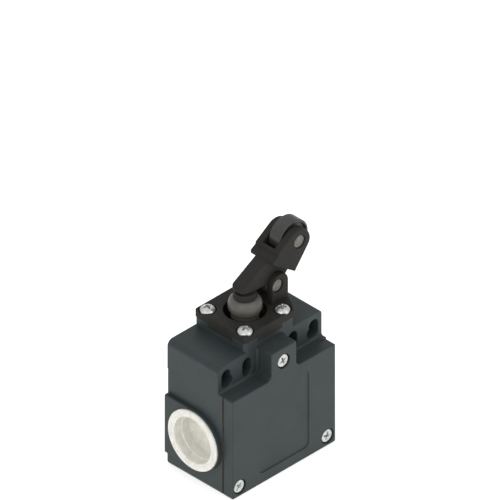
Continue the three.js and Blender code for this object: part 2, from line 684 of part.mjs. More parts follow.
// The front half: chamber, guide for the carrier, and one open pocket and tongue slot per terminal.
function contactBlockCover() {
  const { halfWidth, split, front, chamberFront } = BLOCK;
  const guideX = CARRIER.halfX + CARRIER.play;
  const guideY = CARRIER.halfY + CARRIER.play;
  const pockets = [-1, 1].flatMap((side) => POCKET.ranges.map((range) => (
    box(sided(side, POCKET.inner, halfWidth + 1), [front - 1, POCKET.back], range))));
  const slots = TERMINALS.map(({ side, tongue }) => (
    box(
      sided(side, TERMINAL.inner - RUNNING_GAP, TERMINAL.tongueOuter + RUNNING_GAP),
      [POCKET.back - 1, split + 1],
      [tongue - RUNNING_GAP, tongue + TERMINAL.tongueThickness + RUNNING_GAP],
    )));
  return cut(box([-halfWidth, halfWidth], [front, split], blockZ), [
    box(chamberX, [chamberFront, split + 1], chamberZ),
    box([-guideX, guideX], [-guideY, split + 1], chamberZ),
    box([-stemHalf, stemHalf], [-stemHalf, split + 1], stemZ),
    ...pockets,
    ...slots,
    ...blockScrewHoles(),
  ]);
}

function sided(side, near, far) {
  return side > 0 ? [near, far] : [-far, -near];
}

// One fixed contact: a screw plate in its pocket and a tongue that reaches in beside the bridge.
function terminal({ side, low, tongue }) {
  const t = TERMINAL;
  const plateBack = t.front + t.plate;
  const plateZ = [low, low + t.height];
  return cut(union([
    box(sided(side, t.inner, t.outer), [t.front, plateBack], plateZ),
    box(sided(side, t.inner, t.tongueOuter), [t.front, t.tongueEnd], [tongue, tongue + t.tongueThickness]),
  ]), [
    cylinder(M3.hole, 'y', [t.front - 1, plateBack + GAP], terminalScrewPlace({ side, low }), SIDES.shank),
  ]);
}

function terminalScrewPlace({ side, low }) {
  return [side * TERMINAL_SCREW.x, low + TERMINAL.height / 2];
}

// A square clamping washer round a screw that faces the front.
function clampWasher([x, z], back) {
  const { half, thickness } = WASHER;
  const front = back - thickness;
  return box([x - half, x + half], [front, back], [z - half, z + half])
    .subtract(cylinder(M3.hole, 'y', [front - 1, back + 1], [x, z], SIDES.shank));
}

// The sliding bar that holds both bridges, each in a window with room for the contact spring.
function contactCarrier() {
  const { halfX, halfY, low, high, stem, stemTop, pocket, pocketRadius, play } = CARRIER;
  const { upper, lower, thickness, overtravel, seatPlay } = BRIDGE;
  const through = [-halfX - 1, halfX + 1];
  const window = [-BRIDGE.halfY - play, BRIDGE.halfY + play];
  return cut(union([
    box([-halfX, halfX], [-halfY, halfY], [low, high]),
    box([-stem, stem], [-stem, stem], [high - 1, stemTop]),
  ]), [
    box(through, window, [upper - overtravel, upper + thickness + seatPlay]),
    box(through, window, [lower - seatPlay, lower + thickness + overtravel]),
    cylinder(pocketRadius, 'z', [low - 1, pocket], [0, 0], SIDES.shank),
  ]);
}

// A moving bridge: a flat strip with a silver button near each end, on the side that meets.
function bridge(low, buttonsUp) {
  const { halfX, halfY, thickness } = BRIDGE;
  const top = low + thickness;
  const span = buttonsUp ? [top - BUTTON.root, top + BUTTON.rise] : [low - BUTTON.rise, low + BUTTON.root];
  return union([
    box([-halfX, halfX], [-halfY, halfY], [low, top]),
    ...[-1, 1].map((side) => cylinder(BUTTON.radius, 'z', span, [side * BUTTON.x, 0], SIDES.shank)),
  ]);
}

// ---------------------------------------------------------------- assembly

const FINISH = {
  enamel: { color: 0x474e4f, roughness: 0.5, metalness: 0.1 },
  black: { color: 0x2c2b2b, roughness: 0.55, metalness: 0.1 },
  gasket: { color: 0x4a3a30, roughness: 0.8, metalness: 0 },
  rubber: { color: 0x5c5a52, roughness: 0.55, metalness: 0 },
  zinc: { color: 0xc4c6c2, roughness: 0.3, metalness: 0.9 },
  steel: { color: 0x9a988f, roughness: 0.35, metalness: 0.9 },
  bronze: { color: 0x9a7440, roughness: 0.4, metalness: 0.9 },
  brass: { color: 0xb59a52, roughness: 0.35, metalness: 0.9 },
  copper: { color: 0xb8693c, roughness: 0.35, metalness: 0.9 },
  phenolic: { color: 0x23211f, roughness: 0.6, metalness: 0 },
  carrier: { color: 0xb8b29c, roughness: 0.5, metalness: 0 },
  cap: { color: 0xd9d8d2, roughness: 0.35, metalness: 0 },
};

const limitSwitch = new THREE.Group();
const materials = Object.fromEntries(
  Object.entries(FINISH).map(([name, values]) => [name, new THREE.MeshStandardMaterial(values)]),
);

function add(name, manifold, finish) {
  const mesh = new THREE.Mesh(toGeometry(manifold), materials[finish]);
  mesh.name = name;
  limitSwitch.add(mesh);
  return mesh;
}

// Screws are drawn along +Z; one that faces the front is turned so that its head looks to -Y.
function addFrontScrew(name, manifold, finish, [x, y, z]) {
  const mesh = add(name, manifold, finish);
  mesh.rotation.x = Math.PI / 2;
  mesh.position.set(x, y, z);
}

add('housing', housing(), 'enamel');
add('cover_gasket', coverGasket(), 'gasket');
add('front_cover', frontCover(), 'enamel');
for (const { name, x, z } of COVER_SCREWS) {
  const screw = cheeseScrew(M3.headRadius, M3.headHeight, COVER_HEAD.shank);
  addFrontScrew(name, screw, 'zinc', [x, COVER_SEAT, z]);
}

add('head_body', headBody(), 'black');
add('head_gasket', headGasket(), 'gasket');
const corners = [['front_left', -1, -1], ['front_right', 1, -1], ['rear_left', -1, 1], ['rear_right', 1, 1]];
for (const [corner, sideX, sideY] of corners) {
  const { offset, headRadius, seat, top, end } = HEAD_SCREW;
  const screw = add(`head_screw_${corner}`, panScrew(headRadius, top - seat, seat - end), 'zinc');
  screw.position.set(sideX * offset, sideY * offset, seat);
}

add('plunger_boot', plungerBoot(), 'rubber');
add('plunger_cap', plungerCap(), 'black');
add('plunger_rod', plungerRod(), 'steel');
add('spring_seat', springSeat(), 'steel');
add('guide_bush', guideBush(), 'bronze');
add('plunger_spring', coil(PLUNGER_SPRING, [BUSH.top + BUSH.flange, SEAT.low]), 'steel');

add('lever', lever(), 'black');
add('lever_pin', pin(PIVOT, PIVOT), 'steel');
add('roller', roller(), 'black');
add('roller_pin', pin(ROLLER_PIN, ROLLER), 'steel');

add('conduit_cap_left', conduitCap(-1), 'cap');
add('conduit_cap_right', conduitCap(1), 'cap');

add('contact_block_base', contactBlockBase(), 'phenolic');
add('contact_block_cover', contactBlockCover(), 'phenolic');
add('contact_carrier', contactCarrier(), 'carrier');
add('bridge_contact_nc', bridge(BRIDGE.upper, true), 'copper');
add('bridge_contact_no', bridge(BRIDGE.lower, false), 'copper');
add('carrier_spring', coil(CARRIER_SPRING, [BLOCK.chamberLow, CARRIER.pocket]), 'steel');

const washerBack = TERMINAL.front - WASHER.lift;
const terminalHeadSeat = washerBack - WASHER.thickness;
for (const fixed of TERMINALS) {
  const { headRadius, headHeight, reach } = TERMINAL_SCREW;
  const place = terminalScrewPlace(fixed);
  const screw = cheeseScrew(headRadius, headHeight, TERMINAL.front + reach - terminalHeadSeat, true);
  add(`terminal_${fixed.label}`, terminal(fixed), 'brass');
  add(`clamp_washer_${fixed.label}`, clampWasher(place, washerBack), 'zinc');
  addFrontScrew(`terminal_screw_${fixed.label}`, screw, 'zinc', [place[0], terminalHeadSeat, place[1]]);
}

for (const [label, side] of [['left', -1], ['right', 1]]) {
  const screw = cheeseScrew(M3.headRadius, M3.headHeight, CAVITY.rear + BLOCK_SCREW.reach - BLOCK.front);
  addFrontScrew(`block_screw_${label}`, screw, 'zinc', [side * BLOCK_SCREW.x, BLOCK.front, BLOCK_SCREW.z]);
}

const earthSeat = EARTH.bossFront - WASHER.thickness;
const earthScrew = cheeseScrew(TERMINAL_SCREW.headRadius, TERMINAL_SCREW.headHeight, EARTH.shank, true);
add('earth_washer', clampWasher([0, EARTH.z], EARTH.bossFront), 'brass');
addFrontScrew('earth_screw', earthScrew, 'brass', [0, earthSeat, EARTH.z]);

export default limitSwitch;
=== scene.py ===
"""A roller-lever limit switch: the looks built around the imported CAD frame.

Lengths are metres in the CAD's own frame: +Z up along the plunger, +X to the right along the
front cover, +Y towards the mounting face. MM turns millimetres into metres.
"""

import json
import math

import bmesh
import bpy
from mathutils import Matrix, Vector


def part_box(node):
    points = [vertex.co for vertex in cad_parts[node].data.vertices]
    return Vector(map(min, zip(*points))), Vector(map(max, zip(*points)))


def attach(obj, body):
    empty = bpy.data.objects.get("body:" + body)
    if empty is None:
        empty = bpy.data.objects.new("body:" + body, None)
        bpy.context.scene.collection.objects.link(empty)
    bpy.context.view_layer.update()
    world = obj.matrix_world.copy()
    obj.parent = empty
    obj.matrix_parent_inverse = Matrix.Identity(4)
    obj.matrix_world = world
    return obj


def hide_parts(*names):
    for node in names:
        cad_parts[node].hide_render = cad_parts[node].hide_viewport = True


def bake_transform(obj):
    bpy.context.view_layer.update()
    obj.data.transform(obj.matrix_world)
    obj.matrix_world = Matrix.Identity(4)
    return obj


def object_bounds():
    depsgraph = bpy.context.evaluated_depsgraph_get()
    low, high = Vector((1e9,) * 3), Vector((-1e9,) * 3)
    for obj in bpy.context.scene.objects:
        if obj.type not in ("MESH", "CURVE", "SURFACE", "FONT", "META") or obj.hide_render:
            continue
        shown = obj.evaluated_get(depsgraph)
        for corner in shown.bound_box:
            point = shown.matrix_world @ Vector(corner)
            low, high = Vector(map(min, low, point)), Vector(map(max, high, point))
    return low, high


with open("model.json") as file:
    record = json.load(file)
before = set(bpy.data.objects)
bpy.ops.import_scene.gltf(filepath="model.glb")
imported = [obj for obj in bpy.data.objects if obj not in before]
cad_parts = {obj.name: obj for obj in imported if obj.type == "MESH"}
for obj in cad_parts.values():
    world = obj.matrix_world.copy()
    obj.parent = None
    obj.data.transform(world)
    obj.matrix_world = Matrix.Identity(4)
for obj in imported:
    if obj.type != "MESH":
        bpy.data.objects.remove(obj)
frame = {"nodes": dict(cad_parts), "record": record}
cad_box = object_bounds()

MM = 0.001
RECORD = frame["record"]
BODY_OF = {node: body for body, nodes in RECORD["behaviour"]["bodies"].items() for node in nodes}
SLOT_OF = {row["node"]: row["material_slot"] for row in RECORD["subparts"]}

# ---- camera, floor and light

PICTURE_WIDTH = 0.1701
PICTURE_CENTRE = Vector((0.0024, 0.0, 0.0816))
VIEW_BACK = Vector((-1, -1, 1)).normalized()
CAMERA_DISTANCE = 1.0
SOFTBOX_DISTANCE = 0.6
SOFTBOX_SIZE = (0.30, 0.22)


def aimed(name, data, back, target, distance):
    """A camera or lamp at a distance from its target, looking against the direction back."""
    thing = bpy.data.objects.new(name, data)
    thing.location = target + back * distance
    thing.rotation_mode = "QUATERNION"
    thing.rotation_quaternion = (-back).to_track_quat("-Z", "Y")
    bpy.context.scene.collection.objects.link(thing)
    return thing


def add_camera():
    """A parallel view along the cube's diagonal: the picture is isometric."""
    data = bpy.data.cameras.new("camera")
    data.type = "ORTHO"
    data.ortho_scale = PICTURE_WIDTH
    bpy.context.scene.camera = aimed("camera", data, VIEW_BACK, PICTURE_CENTRE, CAMERA_DISTANCE)


def add_floor():
    """A matt floor that glows a little, so that it comes out nearly white."""
    mesh = bpy.data.meshes.new("floor")
    half = 4.0
    corners = [(-half, -half, 0), (half, -half, 0), (half, half, 0), (-half, half, 0)]
    mesh.from_pydata(corners, [], [(0, 1, 2, 3)])
    floor = bpy.data.objects.new("floor", mesh)
    bpy.context.scene.collection.objects.link(floor)
    material = bpy.data.materials.new("floor")
    material.use_nodes = True
    shader = material.node_tree.nodes["Principled BSDF"]
    shader.inputs["Base Color"].default_value = (0.7, 0.7, 0.7, 1)
    shader.inputs["Roughness"].default_value = 0.9
    shader.inputs["Specular IOR Level"].default_value = 0.0
    shader.inputs["Emission Color"].default_value = (1, 1, 1, 1)
    shader.inputs["Emission Strength"].default_value = 0.62
    mesh.materials.append(material)


def add_world():
    """A studio sky: dim round the horizon and brighter overhead."""
    world = bpy.data.worlds.new("studio")
    bpy.context.scene.world = world
    world.use_nodes = True
    nodes = world.node_tree.nodes
    links = world.node_tree.links
    coordinates = nodes.new("ShaderNodeTexCoord")
    split = nodes.new("ShaderNodeSeparateXYZ")
    ramp = nodes.new("ShaderNodeValToRGB")
    ramp.color_ramp.elements[0].position = 0.05
    ramp.color_ramp.elements[0].color = (0.50, 0.51, 0.52, 1)
    ramp.color_ramp.elements[1].position = 0.45
    ramp.color_ramp.elements[1].color = (0.84, 0.85, 0.86, 1)
    links.new(coordinates.outputs["Generated"], split.inputs["Vector"])
    links.new(split.outputs["Z"], ramp.inputs["Fac"])
    links.new(ramp.outputs["Color"], nodes["Background"].inputs["Color"])


def add_softbox(name, direction, power):
    """A rectangular lamp that looks at the middle of the part."""
    data = bpy.data.lights.new(name, "AREA")
    data.shape = "RECTANGLE"
    data.size, data.size_y = SOFTBOX_SIZE
    data.energy = power
    middle = (cad_box[0] + cad_box[1]) / 2
    aimed(name, data, Vector(direction).normalized(), middle, SOFTBOX_DISTANCE)


add_camera()
add_floor()
add_world()
add_softbox("softbox_left", (-1.0, -0.35, 0.55), 0.5)
add_softbox("softbox_right", (0.25, -1.0, 0.60), 0.35)
bpy.context.scene.view_settings.view_transform = "Standard"

# ---- materials


NOISE_LOW, NOISE_HIGH = 0.3, 0.7


def linear(hex_colour):
    """Linear RGBA of a six-digit sRGB colour."""
    channels = [int(hex_colour[i:i + 2], 16) / 255 for i in (0, 2, 4)]
    return [c / 12.92 if c <= 0.04045 else ((c + 0.055) / 1.055) ** 2.4 for c in channels] + [1]


class Surface:
    """One procedural material, built up from object coordinates layer by layer."""

    def __init__(self, name, **constants):
        self.material = bpy.data.materials.new(name)
        self.material.use_nodes = True
        self.nodes = self.material.node_tree.nodes
        self.links = self.material.node_tree.links
        self.shader = self.nodes["Principled BSDF"]
        self.place = self.nodes.new("ShaderNodeTexCoord").outputs["Object"]
        self.normal = None
        for socket, value in constants.items():
            self.shader.inputs[socket.replace("_", " ")].default_value = value

    def noise(self, scale, detail=2.0, stretch=None):
        node = self.nodes.new("ShaderNodeTexNoise")
        node.inputs["Scale"].default_value = scale
        node.inputs["Detail"].default_value = detail
        place = self.place
        if stretch:
            mapping = self.nodes.new("ShaderNodeMapping")
            mapping.inputs["Scale"].default_value = stretch
            self.links.new(place, mapping.inputs["Vector"])
            place = mapping.outputs["Vector"]
        self.links.new(place, node.inputs["Vector"])
        return node.outputs["Fac"]

    def cells(self, scale):
        node = self.nodes.new("ShaderNodeTexVoronoi")
        node.feature = "SMOOTH_F1"
        node.inputs["Scale"].default_value = scale
        self.links.new(self.place, node.inputs["Vector"])
        return node.outputs["Distance"]

    def rings(self, axis, scale):
        """Turning marks: rings about an axis through the origin."""
        wave = self.nodes.new("ShaderNodeTexWave")
        wave.wave_type = "RINGS"
        wave.rings_direction = axis
        wave.inputs["Scale"].default_value = scale
        wave.inputs["Distortion"].default_value = 1.5
        self.links.new(self.place, wave.inputs["Vector"])
        return wave.outputs["Fac"]

    def tones(self, source, dark, light, low=0.35, high=0.65):
        ramp = self.nodes.new("ShaderNodeValToRGB")
        ramp.color_ramp.elements[0].position = low
        ramp.color_ramp.elements[0].color = linear(dark)
        ramp.color_ramp.elements[1].position = high
        ramp.color_ramp.elements[1].color = linear(light)
        self.links.new(source, ramp.inputs["Fac"])
        self.links.new(ramp.outputs["Color"], self.shader.inputs["Base Color"])
        return self

    def roughness(self, source, low, high):
        span = self.nodes.new("ShaderNodeMapRange")
        span.inputs["From Min"].default_value = NOISE_LOW
        span.inputs["From Max"].default_value = NOISE_HIGH
        span.inputs["To Min"].default_value = low
        span.inputs["To Max"].default_value = high
        self.links.new(source, span.inputs["Value"])
        self.links.new(span.outputs["Result"], self.shader.inputs["Roughness"])
        return self

    def relief(self, source, depth):
        """A bump of the given depth in metres, laid over any earlier one."""
        bump = self.nodes.new("ShaderNodeBump")
        bump.inputs["Distance"].default_value = depth
        self.links.new(source, bump.inputs["Height"])
        if self.normal:
            self.links.new(self.normal, bump.inputs["Normal"])
        self.normal = bump.outputs["Normal"]
        self.links.new(self.normal, self.shader.inputs["Normal"])
        return self


def enamel():
    """Stove enamel over a die casting: even colour, orange peel and a fine grain."""
    s = Surface("housing_enamel", Specular_IOR_Level=0.2)
    s.tones(s.noise(90, 4), "33393a", "373e3f")
    s.roughness(s.noise(700, 3), 0.36, 0.46)
    s.relief(s.noise(420, 2), 0.02 * MM)
    s.relief(s.cells(2600), 0.006 * MM)
    return s.material


def black_enamel():
    """The enamel of the head and the lever: black, duller and a little rougher."""
    s = Surface("black_enamel", Specular_IOR_Level=0.1)
    s.tones(s.noise(120, 4), "2b2a28", "302f2d")
    s.roughness(s.noise(900, 3), 0.48, 0.6)
    s.relief(s.noise(700, 3), 0.02 * MM)
    s.relief(s.cells(3600), 0.01 * MM)
    return s.material


def gasket_cork():
    s = Surface("gasket_cork", Specular_IOR_Level=0.3)
    s.tones(s.cells(1500), "3a2b22", "55443a", 0.1, 0.8)
    s.roughness(s.noise(800), 0.75, 0.9)
    s.relief(s.cells(2200), 0.05 * MM)
    return s.material


def boot_rubber():
    s = Surface("boot_rubber", Specular_IOR_Level=0.45)
    s.tones(s.noise(260, 4), "56534c", "5e5b54")
    s.roughness(s.noise(500, 3), 0.34, 0.44)
    s.relief(s.noise(900, 3), 0.008 * MM)
    return s.material


def zinc_plate():
    s = Surface("zinc_plated_screw", Metallic=1.0)
    s.tones(s.noise(900, 5), "c0c2be", "dedfda")
    s.roughness(s.noise(1400, 4), 0.32, 0.46)
    s.relief(s.noise(3200, 4), 0.006 * MM)
    return s.material


def bright_steel():
    """Steel with faint marks about the pins' axis."""
    s = Surface("bright_steel", Metallic=1.0)
    s.tones(s.noise(1200, 5), "6b6963", "827f78")
    s.roughness(s.noise(1500, 4), 0.42, 0.56)
    s.relief(s.rings("Y", 900), 0.004 * MM)
    s.relief(s.noise(3500, 3), 0.003 * MM)
    return s.material


def spring_wire():
    s = Surface("spring_steel", Metallic=1.0)
    s.tones(s.noise(1500, 4), "7d8083", "9a9da0")
    s.roughness(s.noise(2000, 3), 0.25, 0.4)
    s.relief(s.noise(5000, 2), 0.004 * MM)
    return s.material


def stamped_metal(name, dark, light):
    """Sheet metal punched and bent: a rolling grain one way."""
    s = Surface(name, Metallic=1.0)
    s.tones(s.noise(500, 5), dark, light)
    s.roughness(s.noise(800, 4), 0.26, 0.4)
    s.relief(s.noise(1200, 3, stretch=(0.15, 1, 3)), 0.006 * MM)
    return s.material


def sintered_bronze():
    s = Surface("sintered_bronze", Metallic=1.0)
    s.tones(s.cells(3000), "7d5b30", "ab8148", 0.1, 0.7)
    s.roughness(s.noise(1500), 0.4, 0.6)
    s.relief(s.cells(4500), 0.02 * MM)
    return s.material


def moulded(name, dark, light, low, high, grain):
    """Two tones, the least and the most roughness, and the depth of the grain."""
    s = Surface(name)
    s.tones(s.noise(200, 4), dark, light)
    s.roughness(s.noise(900, 3), low, high)
    s.relief(s.noise(1800, 3), grain)
    return s.material


def cap_plastic():
    """Milky polyethylene: light goes in, scatters and comes out softly."""
    s = Surface(
        "cap_plastic",
        Subsurface_Weight=0.35,
        Subsurface_Radius=(0.9, 0.85, 0.75),
        Subsurface_Scale=1.2 * MM,
        Specular_IOR_Level=0.5,
    )
    s.tones(s.noise(350, 4), "dad7ce", "eae8e0")
    s.roughness(s.noise(600, 3), 0.2, 0.3)
    s.relief(s.noise(1000, 2), 0.01 * MM)
    return s.material


MATERIALS = {
    "housing_enamel": enamel(),
    "black_enamel": black_enamel(),
    "gasket_cork": gasket_cork(),
    "boot_rubber": boot_rubber(),
    "zinc_plated_screw": zinc_plate(),
    "bright_steel": bright_steel(),
    "spring_steel": spring_wire(),
    "sintered_bronze": sintered_bronze(),
    "terminal_brass": stamped_metal("terminal_brass", "a98c45", "c9ab62"),
    "contact_copper": stamped_metal("contact_copper", "a85f36", "cb7d50"),
    "block_plastic": moulded("block_plastic", "201e1c", "282523", 0.4, 0.55, 0.02 * MM),
    "carrier_plastic": moulded("carrier_plastic", "b5ae97", "c4bea9", 0.35, 0.5, 0.012 * MM),
    "roller_plastic": moulded("roller_plastic", "2f2e2c", "3b3a38", 0.32, 0.48, 0.008 * MM),
    "cap_plastic": cap_plastic(),
}

# ---- mesh tools

SHARP = math.radians(32)
ROUNDED = math.radians(26)
FLAT = math.radians(0.6)


def finished(piece, node, smooth_angle=SHARP):
    """Gives a new piece its material, slot and shading, and hides the CAD node it stands for."""
    slot = SLOT_OF[node]
    piece.data.materials.clear()
    piece.data.materials.append(MATERIALS[slot])
    shade(piece.data, smooth_angle)
    weighted = piece.modifiers.new("weighted_normals", "WEIGHTED_NORMAL")
    weighted.keep_sharp = True
    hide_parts(node)
    return piece


def ride_home(piece, node):
    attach(piece, BODY_OF[node])
    return piece


def shade(mesh, angle):
    """Smooth shading, with edges sharper than the angle kept sharp."""
    bm = bmesh.new()
    bm.from_mesh(mesh)
    for face in bm.faces:
        face.smooth = True
    for edge in bm.edges:
        edge.smooth = len(edge.link_faces) == 2 and edge.calc_face_angle(0) < angle
    bm.to_mesh(mesh)
    bm.free()


def new_piece(name, bm):
    bmesh.ops.recalc_face_normals(bm, faces=bm.faces)
    mesh = bpy.data.meshes.new(name)
    bm.to_mesh(mesh)
    bm.free()
    piece = bpy.data.objects.new(name, mesh)
    bpy.context.scene.collection.objects.link(piece)
    return piece


def baked(piece):
    """Replaces a piece's mesh by the result of its modifiers."""
    graph = bpy.context.evaluated_depsgraph_get()
    mesh = bpy.data.meshes.new_from_object(piece.evaluated_get(graph))
    piece.modifiers.clear()
    piece.data = mesh
    return piece


def refined(node, width, segments=3):
    """A CAD node's solid with its flat facets joined and its edges sharper than ROUNDED rounded."""
    bm = bmesh.new()
    bm.from_mesh(frame["nodes"][node].data)
    bmesh.ops.remove_doubles(bm, verts=bm.verts, dist=2e-6)
    bmesh.ops.dissolve_limit(bm, angle_limit=FLAT, verts=bm.verts, edges=bm.edges)
    layer = bm.edges.layers.float.new("bevel_weight_edge")
    for edge in bm.edges:
        if len(edge.link_faces) == 2 and edge.calc_face_angle(0) > ROUNDED:
            edge[layer] = 1.0
    piece = new_piece(node + "_finish", bm)
    bevel = piece.modifiers.new("rounded_edges", "BEVEL")
    bevel.limit_method = "WEIGHT"
    bevel.width = width
    bevel.segments = segments
    bevel.use_clamp_overlap = False
    bevel.miter_outer = "MITER_ARC"
    baked(piece)
    return ride_home(finished(piece, node), node)


def arc_corners(corners, steps=6):
    """Turns (r, h, fillet) corners into plain points, with an arc at each filleted corner."""
    points = []
    count = len(corners)
    for i, (r, h, *rest) in enumerate(corners):
        fillet = rest[0] if rest else 0
        here = Vector((r, h))
        if not fillet:
            points.append(here)
            continue
        back = (Vector(corners[i - 1][:2]) - here).normalized()
        ahead = (Vector(corners[(i + 1) % count][:2]) - here).normalized()
        half = math.acos(max(-1, min(1, back.dot(ahead)))) / 2
        centre = here + (back + ahead).normalized() * fillet / math.sin(half)
        start = here + back * fillet / math.tan(half) - centre
        end = here + ahead * fillet / math.tan(half) - centre
        turn = start.angle_signed(end)
        for step in range(steps + 1):
            points.append(centre + Matrix.Rotation(-turn * step / steps, 2) @ start)
    return points


AXES = {
    "X": Matrix(((0, 0, 1), (1, 0, 0), (0, 1, 0))),
    "Y": Matrix(((1, 0, 0), (0, 0, 1), (0, 1, 0))),
    "Z": Matrix.Identity(3),
}


def lathe(name, corners, centre, axis, segments, closed):
    """A turned piece. Corners are (radius, height, fillet) in metres from the centre, along the axis."""
    points = arc_corners(corners)
    bm = bmesh.new()
    rings = []
    for r, h in points:
        if r < 1e-7:
            rings.append([bm.verts.new(AXES[axis] @ Vector((0, 0, h)) + centre)])
            continue
        ring = []
        for i in range(segments):
            angle = 2 * math.pi * i / segments
            local = Vector((r * math.cos(angle), r * math.sin(angle), h))
            ring.append(bm.verts.new(AXES[axis] @ local + centre))
        rings.append(ring)
    pairs = list(zip(rings, rings[1:]))
    if closed:
        pairs.append((rings[-1], rings[0]))
    for lower, upper in pairs:
        for i in range(segments):
            j = (i + 1) % segments
            corners_here = ((lower, i), (lower, j), (upper, j), (upper, i))
            unique = list(dict.fromkeys(row[k % len(row)] for row, k in corners_here))
            if len(unique) > 2:
                bm.faces.new(unique)
    return new_piece(name, bm)


def box_of(node):
    low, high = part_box(node)
    return low, high, (low + high) / 2


def turned(node, corners, axis="Z", segments=96, closed=False):
    """A lathe piece on a CAD node's own axis, its heights counted from the node's lowest point."""
    low, _, centre = box_of(node)
    index = "XYZ".index(axis)
    centre[index] = low[index]
    piece = lathe(node + "_finish", corners, centre, axis, segments, closed)
    return finished(piece, node)


COIL_TURNS = 6
FLAT_TURNS = 0.9


def coil(node, radius, wire, per_turn=40):
    """A compression spring between its node's ends, its end turns closed up."""
    low, high, middle = box_of(node)
    floor = low.z + wire
    rise = high.z - low.z - 2 * wire
    closed_share = FLAT_TURNS / COIL_TURNS
    lift = wire * 2 * FLAT_TURNS
    around = 14

    def height(t):
        if t < closed_share:
            return lift * t / closed_share
        if t > 1 - closed_share:
            return rise - lift * (1 - t) / closed_share
        inner = (t - closed_share) / (1 - 2 * closed_share)
        return lift + (rise - 2 * lift) * inner

    bm = bmesh.new()
    steps = COIL_TURNS * per_turn
    rings = []
    for k in range(steps + 1):
        t = k / steps
        angle = 2 * math.pi * COIL_TURNS * t
        out = Vector((math.cos(angle), math.sin(angle), 0))
        at = Vector((middle.x, middle.y, floor + height(t))) + out * radius
        ring = []
        for i in range(around):
            bend = 2 * math.pi * i / around
            ring.append(bm.verts.new(at + (out * math.cos(bend) + Vector((0, 0, math.sin(bend)))) * wire))
        rings.append(ring)
    for lower, upper in zip(rings, rings[1:]):
        for i in range(around):
            j = (i + 1) % around
            bm.faces.new((lower[i], lower[j], upper[j], upper[i]))
    bm.faces.new(rings[0])
    bm.faces.new(rings[-1])
    return finished(new_piece(node + "_finish", bm), node)


# ---- screws

SHANK_RADIUS = 1.4 * MM
EDGE_SHARE = {"dome": 0.35, "flat": 0.84}
DOME_SHARE = 0.94
FLAT_SHARE = 0.86
# Each kind's head radius, head height, form, recess and depth of the recess.
SCREW_KINDS = {
    "head": (2.7 * MM, 2.2 * MM, "dome", "cross", 1.5 * MM),
    "cover": (2.5 * MM, 1.8 * MM, "flat", "cross", 1.2 * MM),
    "terminal": (2.6 * MM, 1.7 * MM, "flat", "slot", 0.9 * MM),
}


def cross_depth(x, y, reach, half_width):
    """How deep a cross recess is at a point, from 0 at its outline to 1 on its centre lines."""
    def arm(u, v):
        """One bar of the cross: it gets narrower and shallower towards its ends."""
        along = (reach - abs(u)) / (reach * 0.5)
        across = (half_width * (1.25 - 0.5 * abs(u) / reach) - abs(v)) / half_width
        return min(along, across)

    inside = max(arm(x, y), arm(y, x), 1.4 - math.hypot(x, y) / half_width / 0.9)
    return max(0.0, min(1.0, inside * 1.6))


def slot_depth(x, y, reach, half_width):
    """The same for a slot, which runs right across the head, so x and the reach don't matter."""
    return max(0.0, min(1.0, (half_width - abs(y)) / (half_width * 0.25)))


def screw(node, axis, out, kind, spin):
    """A screw whose head looks along +axis (out 1) or -axis (out -1), with a modelled drive recess."""
    head_radius, head_height, form, recess, depth = SCREW_KINDS[kind]
    shape = cross_depth if recess == "cross" else slot_depth
    low, high, middle = box_of(node)
    index = "XYZ".index(axis)
    length = high[index] - low[index]
    top = high[index] if out > 0 else low[index]
    rows, segments = 34, 144
    reach, half_width = head_radius * 0.62, head_radius * 0.15
    bulge = head_height - head_height * EDGE_SHARE[form]
    bm = bmesh.new()

    def vertex(r, angle, below):
        local = Vector((r * math.cos(angle), r * math.sin(angle), 0))
        point = AXES[axis] @ local + middle
        point[index] = top - out * below
        return bm.verts.new(point)

    def fall(share):
        """How far the bare head lies below its top at a share of its radius."""
        if form == "flat":
            rim = max(0.0, (share - FLAT_SHARE) / (1 - FLAT_SHARE))
            return bulge * (1 - math.sqrt(max(0.0, 1 - rim ** 2)))
        return bulge * (1 - math.sqrt(1 - (share * DOME_SHARE) ** 2)) / (1 - math.sqrt(1 - DOME_SHARE ** 2))

    def surface(r, angle):
        x, y = r * math.cos(angle - spin), r * math.sin(angle - spin)
        return max(fall(r / head_radius), depth * shape(x, y, reach, half_width))

    angles = [2 * math.pi * i / segments for i in range(segments)]
    centre = vertex(0, 0, surface(0, 0))
    rings = []
    for row in range(1, rows + 1):
        r = head_radius * math.sin(row / rows * math.pi / 2) ** 0.9
        rings.append([vertex(r, angle, surface(r, angle)) for angle in angles])
    chamfer = 0.12 * MM
    skirt = [
        (head_radius, head_height - chamfer), (head_radius - chamfer, head_height),
        (SHANK_RADIUS + chamfer, head_height), (SHANK_RADIUS, head_height + chamfer),
        (SHANK_RADIUS, length - 2 * chamfer), (SHANK_RADIUS - 2 * chamfer, length),
    ]
    for r, below in skirt:
        rings.append([vertex(r, angle, below) for angle in angles])
    for i in range(segments):
        bm.faces.new((centre, rings[0][i], rings[0][(i + 1) % segments]))
    for upper, lower in zip(rings, rings[1:]):
        for i in range(segments):
            j = (i + 1) % segments
            bm.faces.new((upper[i], lower[i], lower[j], upper[j]))
    bm.faces.new(rings[-1])
    piece = finished(new_piece(node + "_finish", bm), node, math.radians(50))
    return ride_home(piece, node)


def add_screws():
    """All the screws, each left at its own angle."""
    for k, corner in enumerate(("front_left", "front_right", "rear_left", "rear_right")):
        screw("head_screw_" + corner, "Z", 1, "head", math.radians(12 + 31 * k))
    for k, place in enumerate(("top", "left", "right")):
        screw("cover_screw_" + place, "Y", -1, "cover", math.radians(20 + 25 * k))
    for k, side in enumerate(("left", "right")):
        screw("block_screw_" + side, "Y", -1, "cover", math.radians(35 * k))
    for k, label in enumerate(("no_left", "no_right", "nc_left", "nc_right")):
        screw("terminal_screw_" + label, "Y", -1, "terminal", math.radians(15 + 40 * k))
    screw("earth_screw", "Y", -1, "terminal", 0.3)


# ---- prisms, cuts and joins

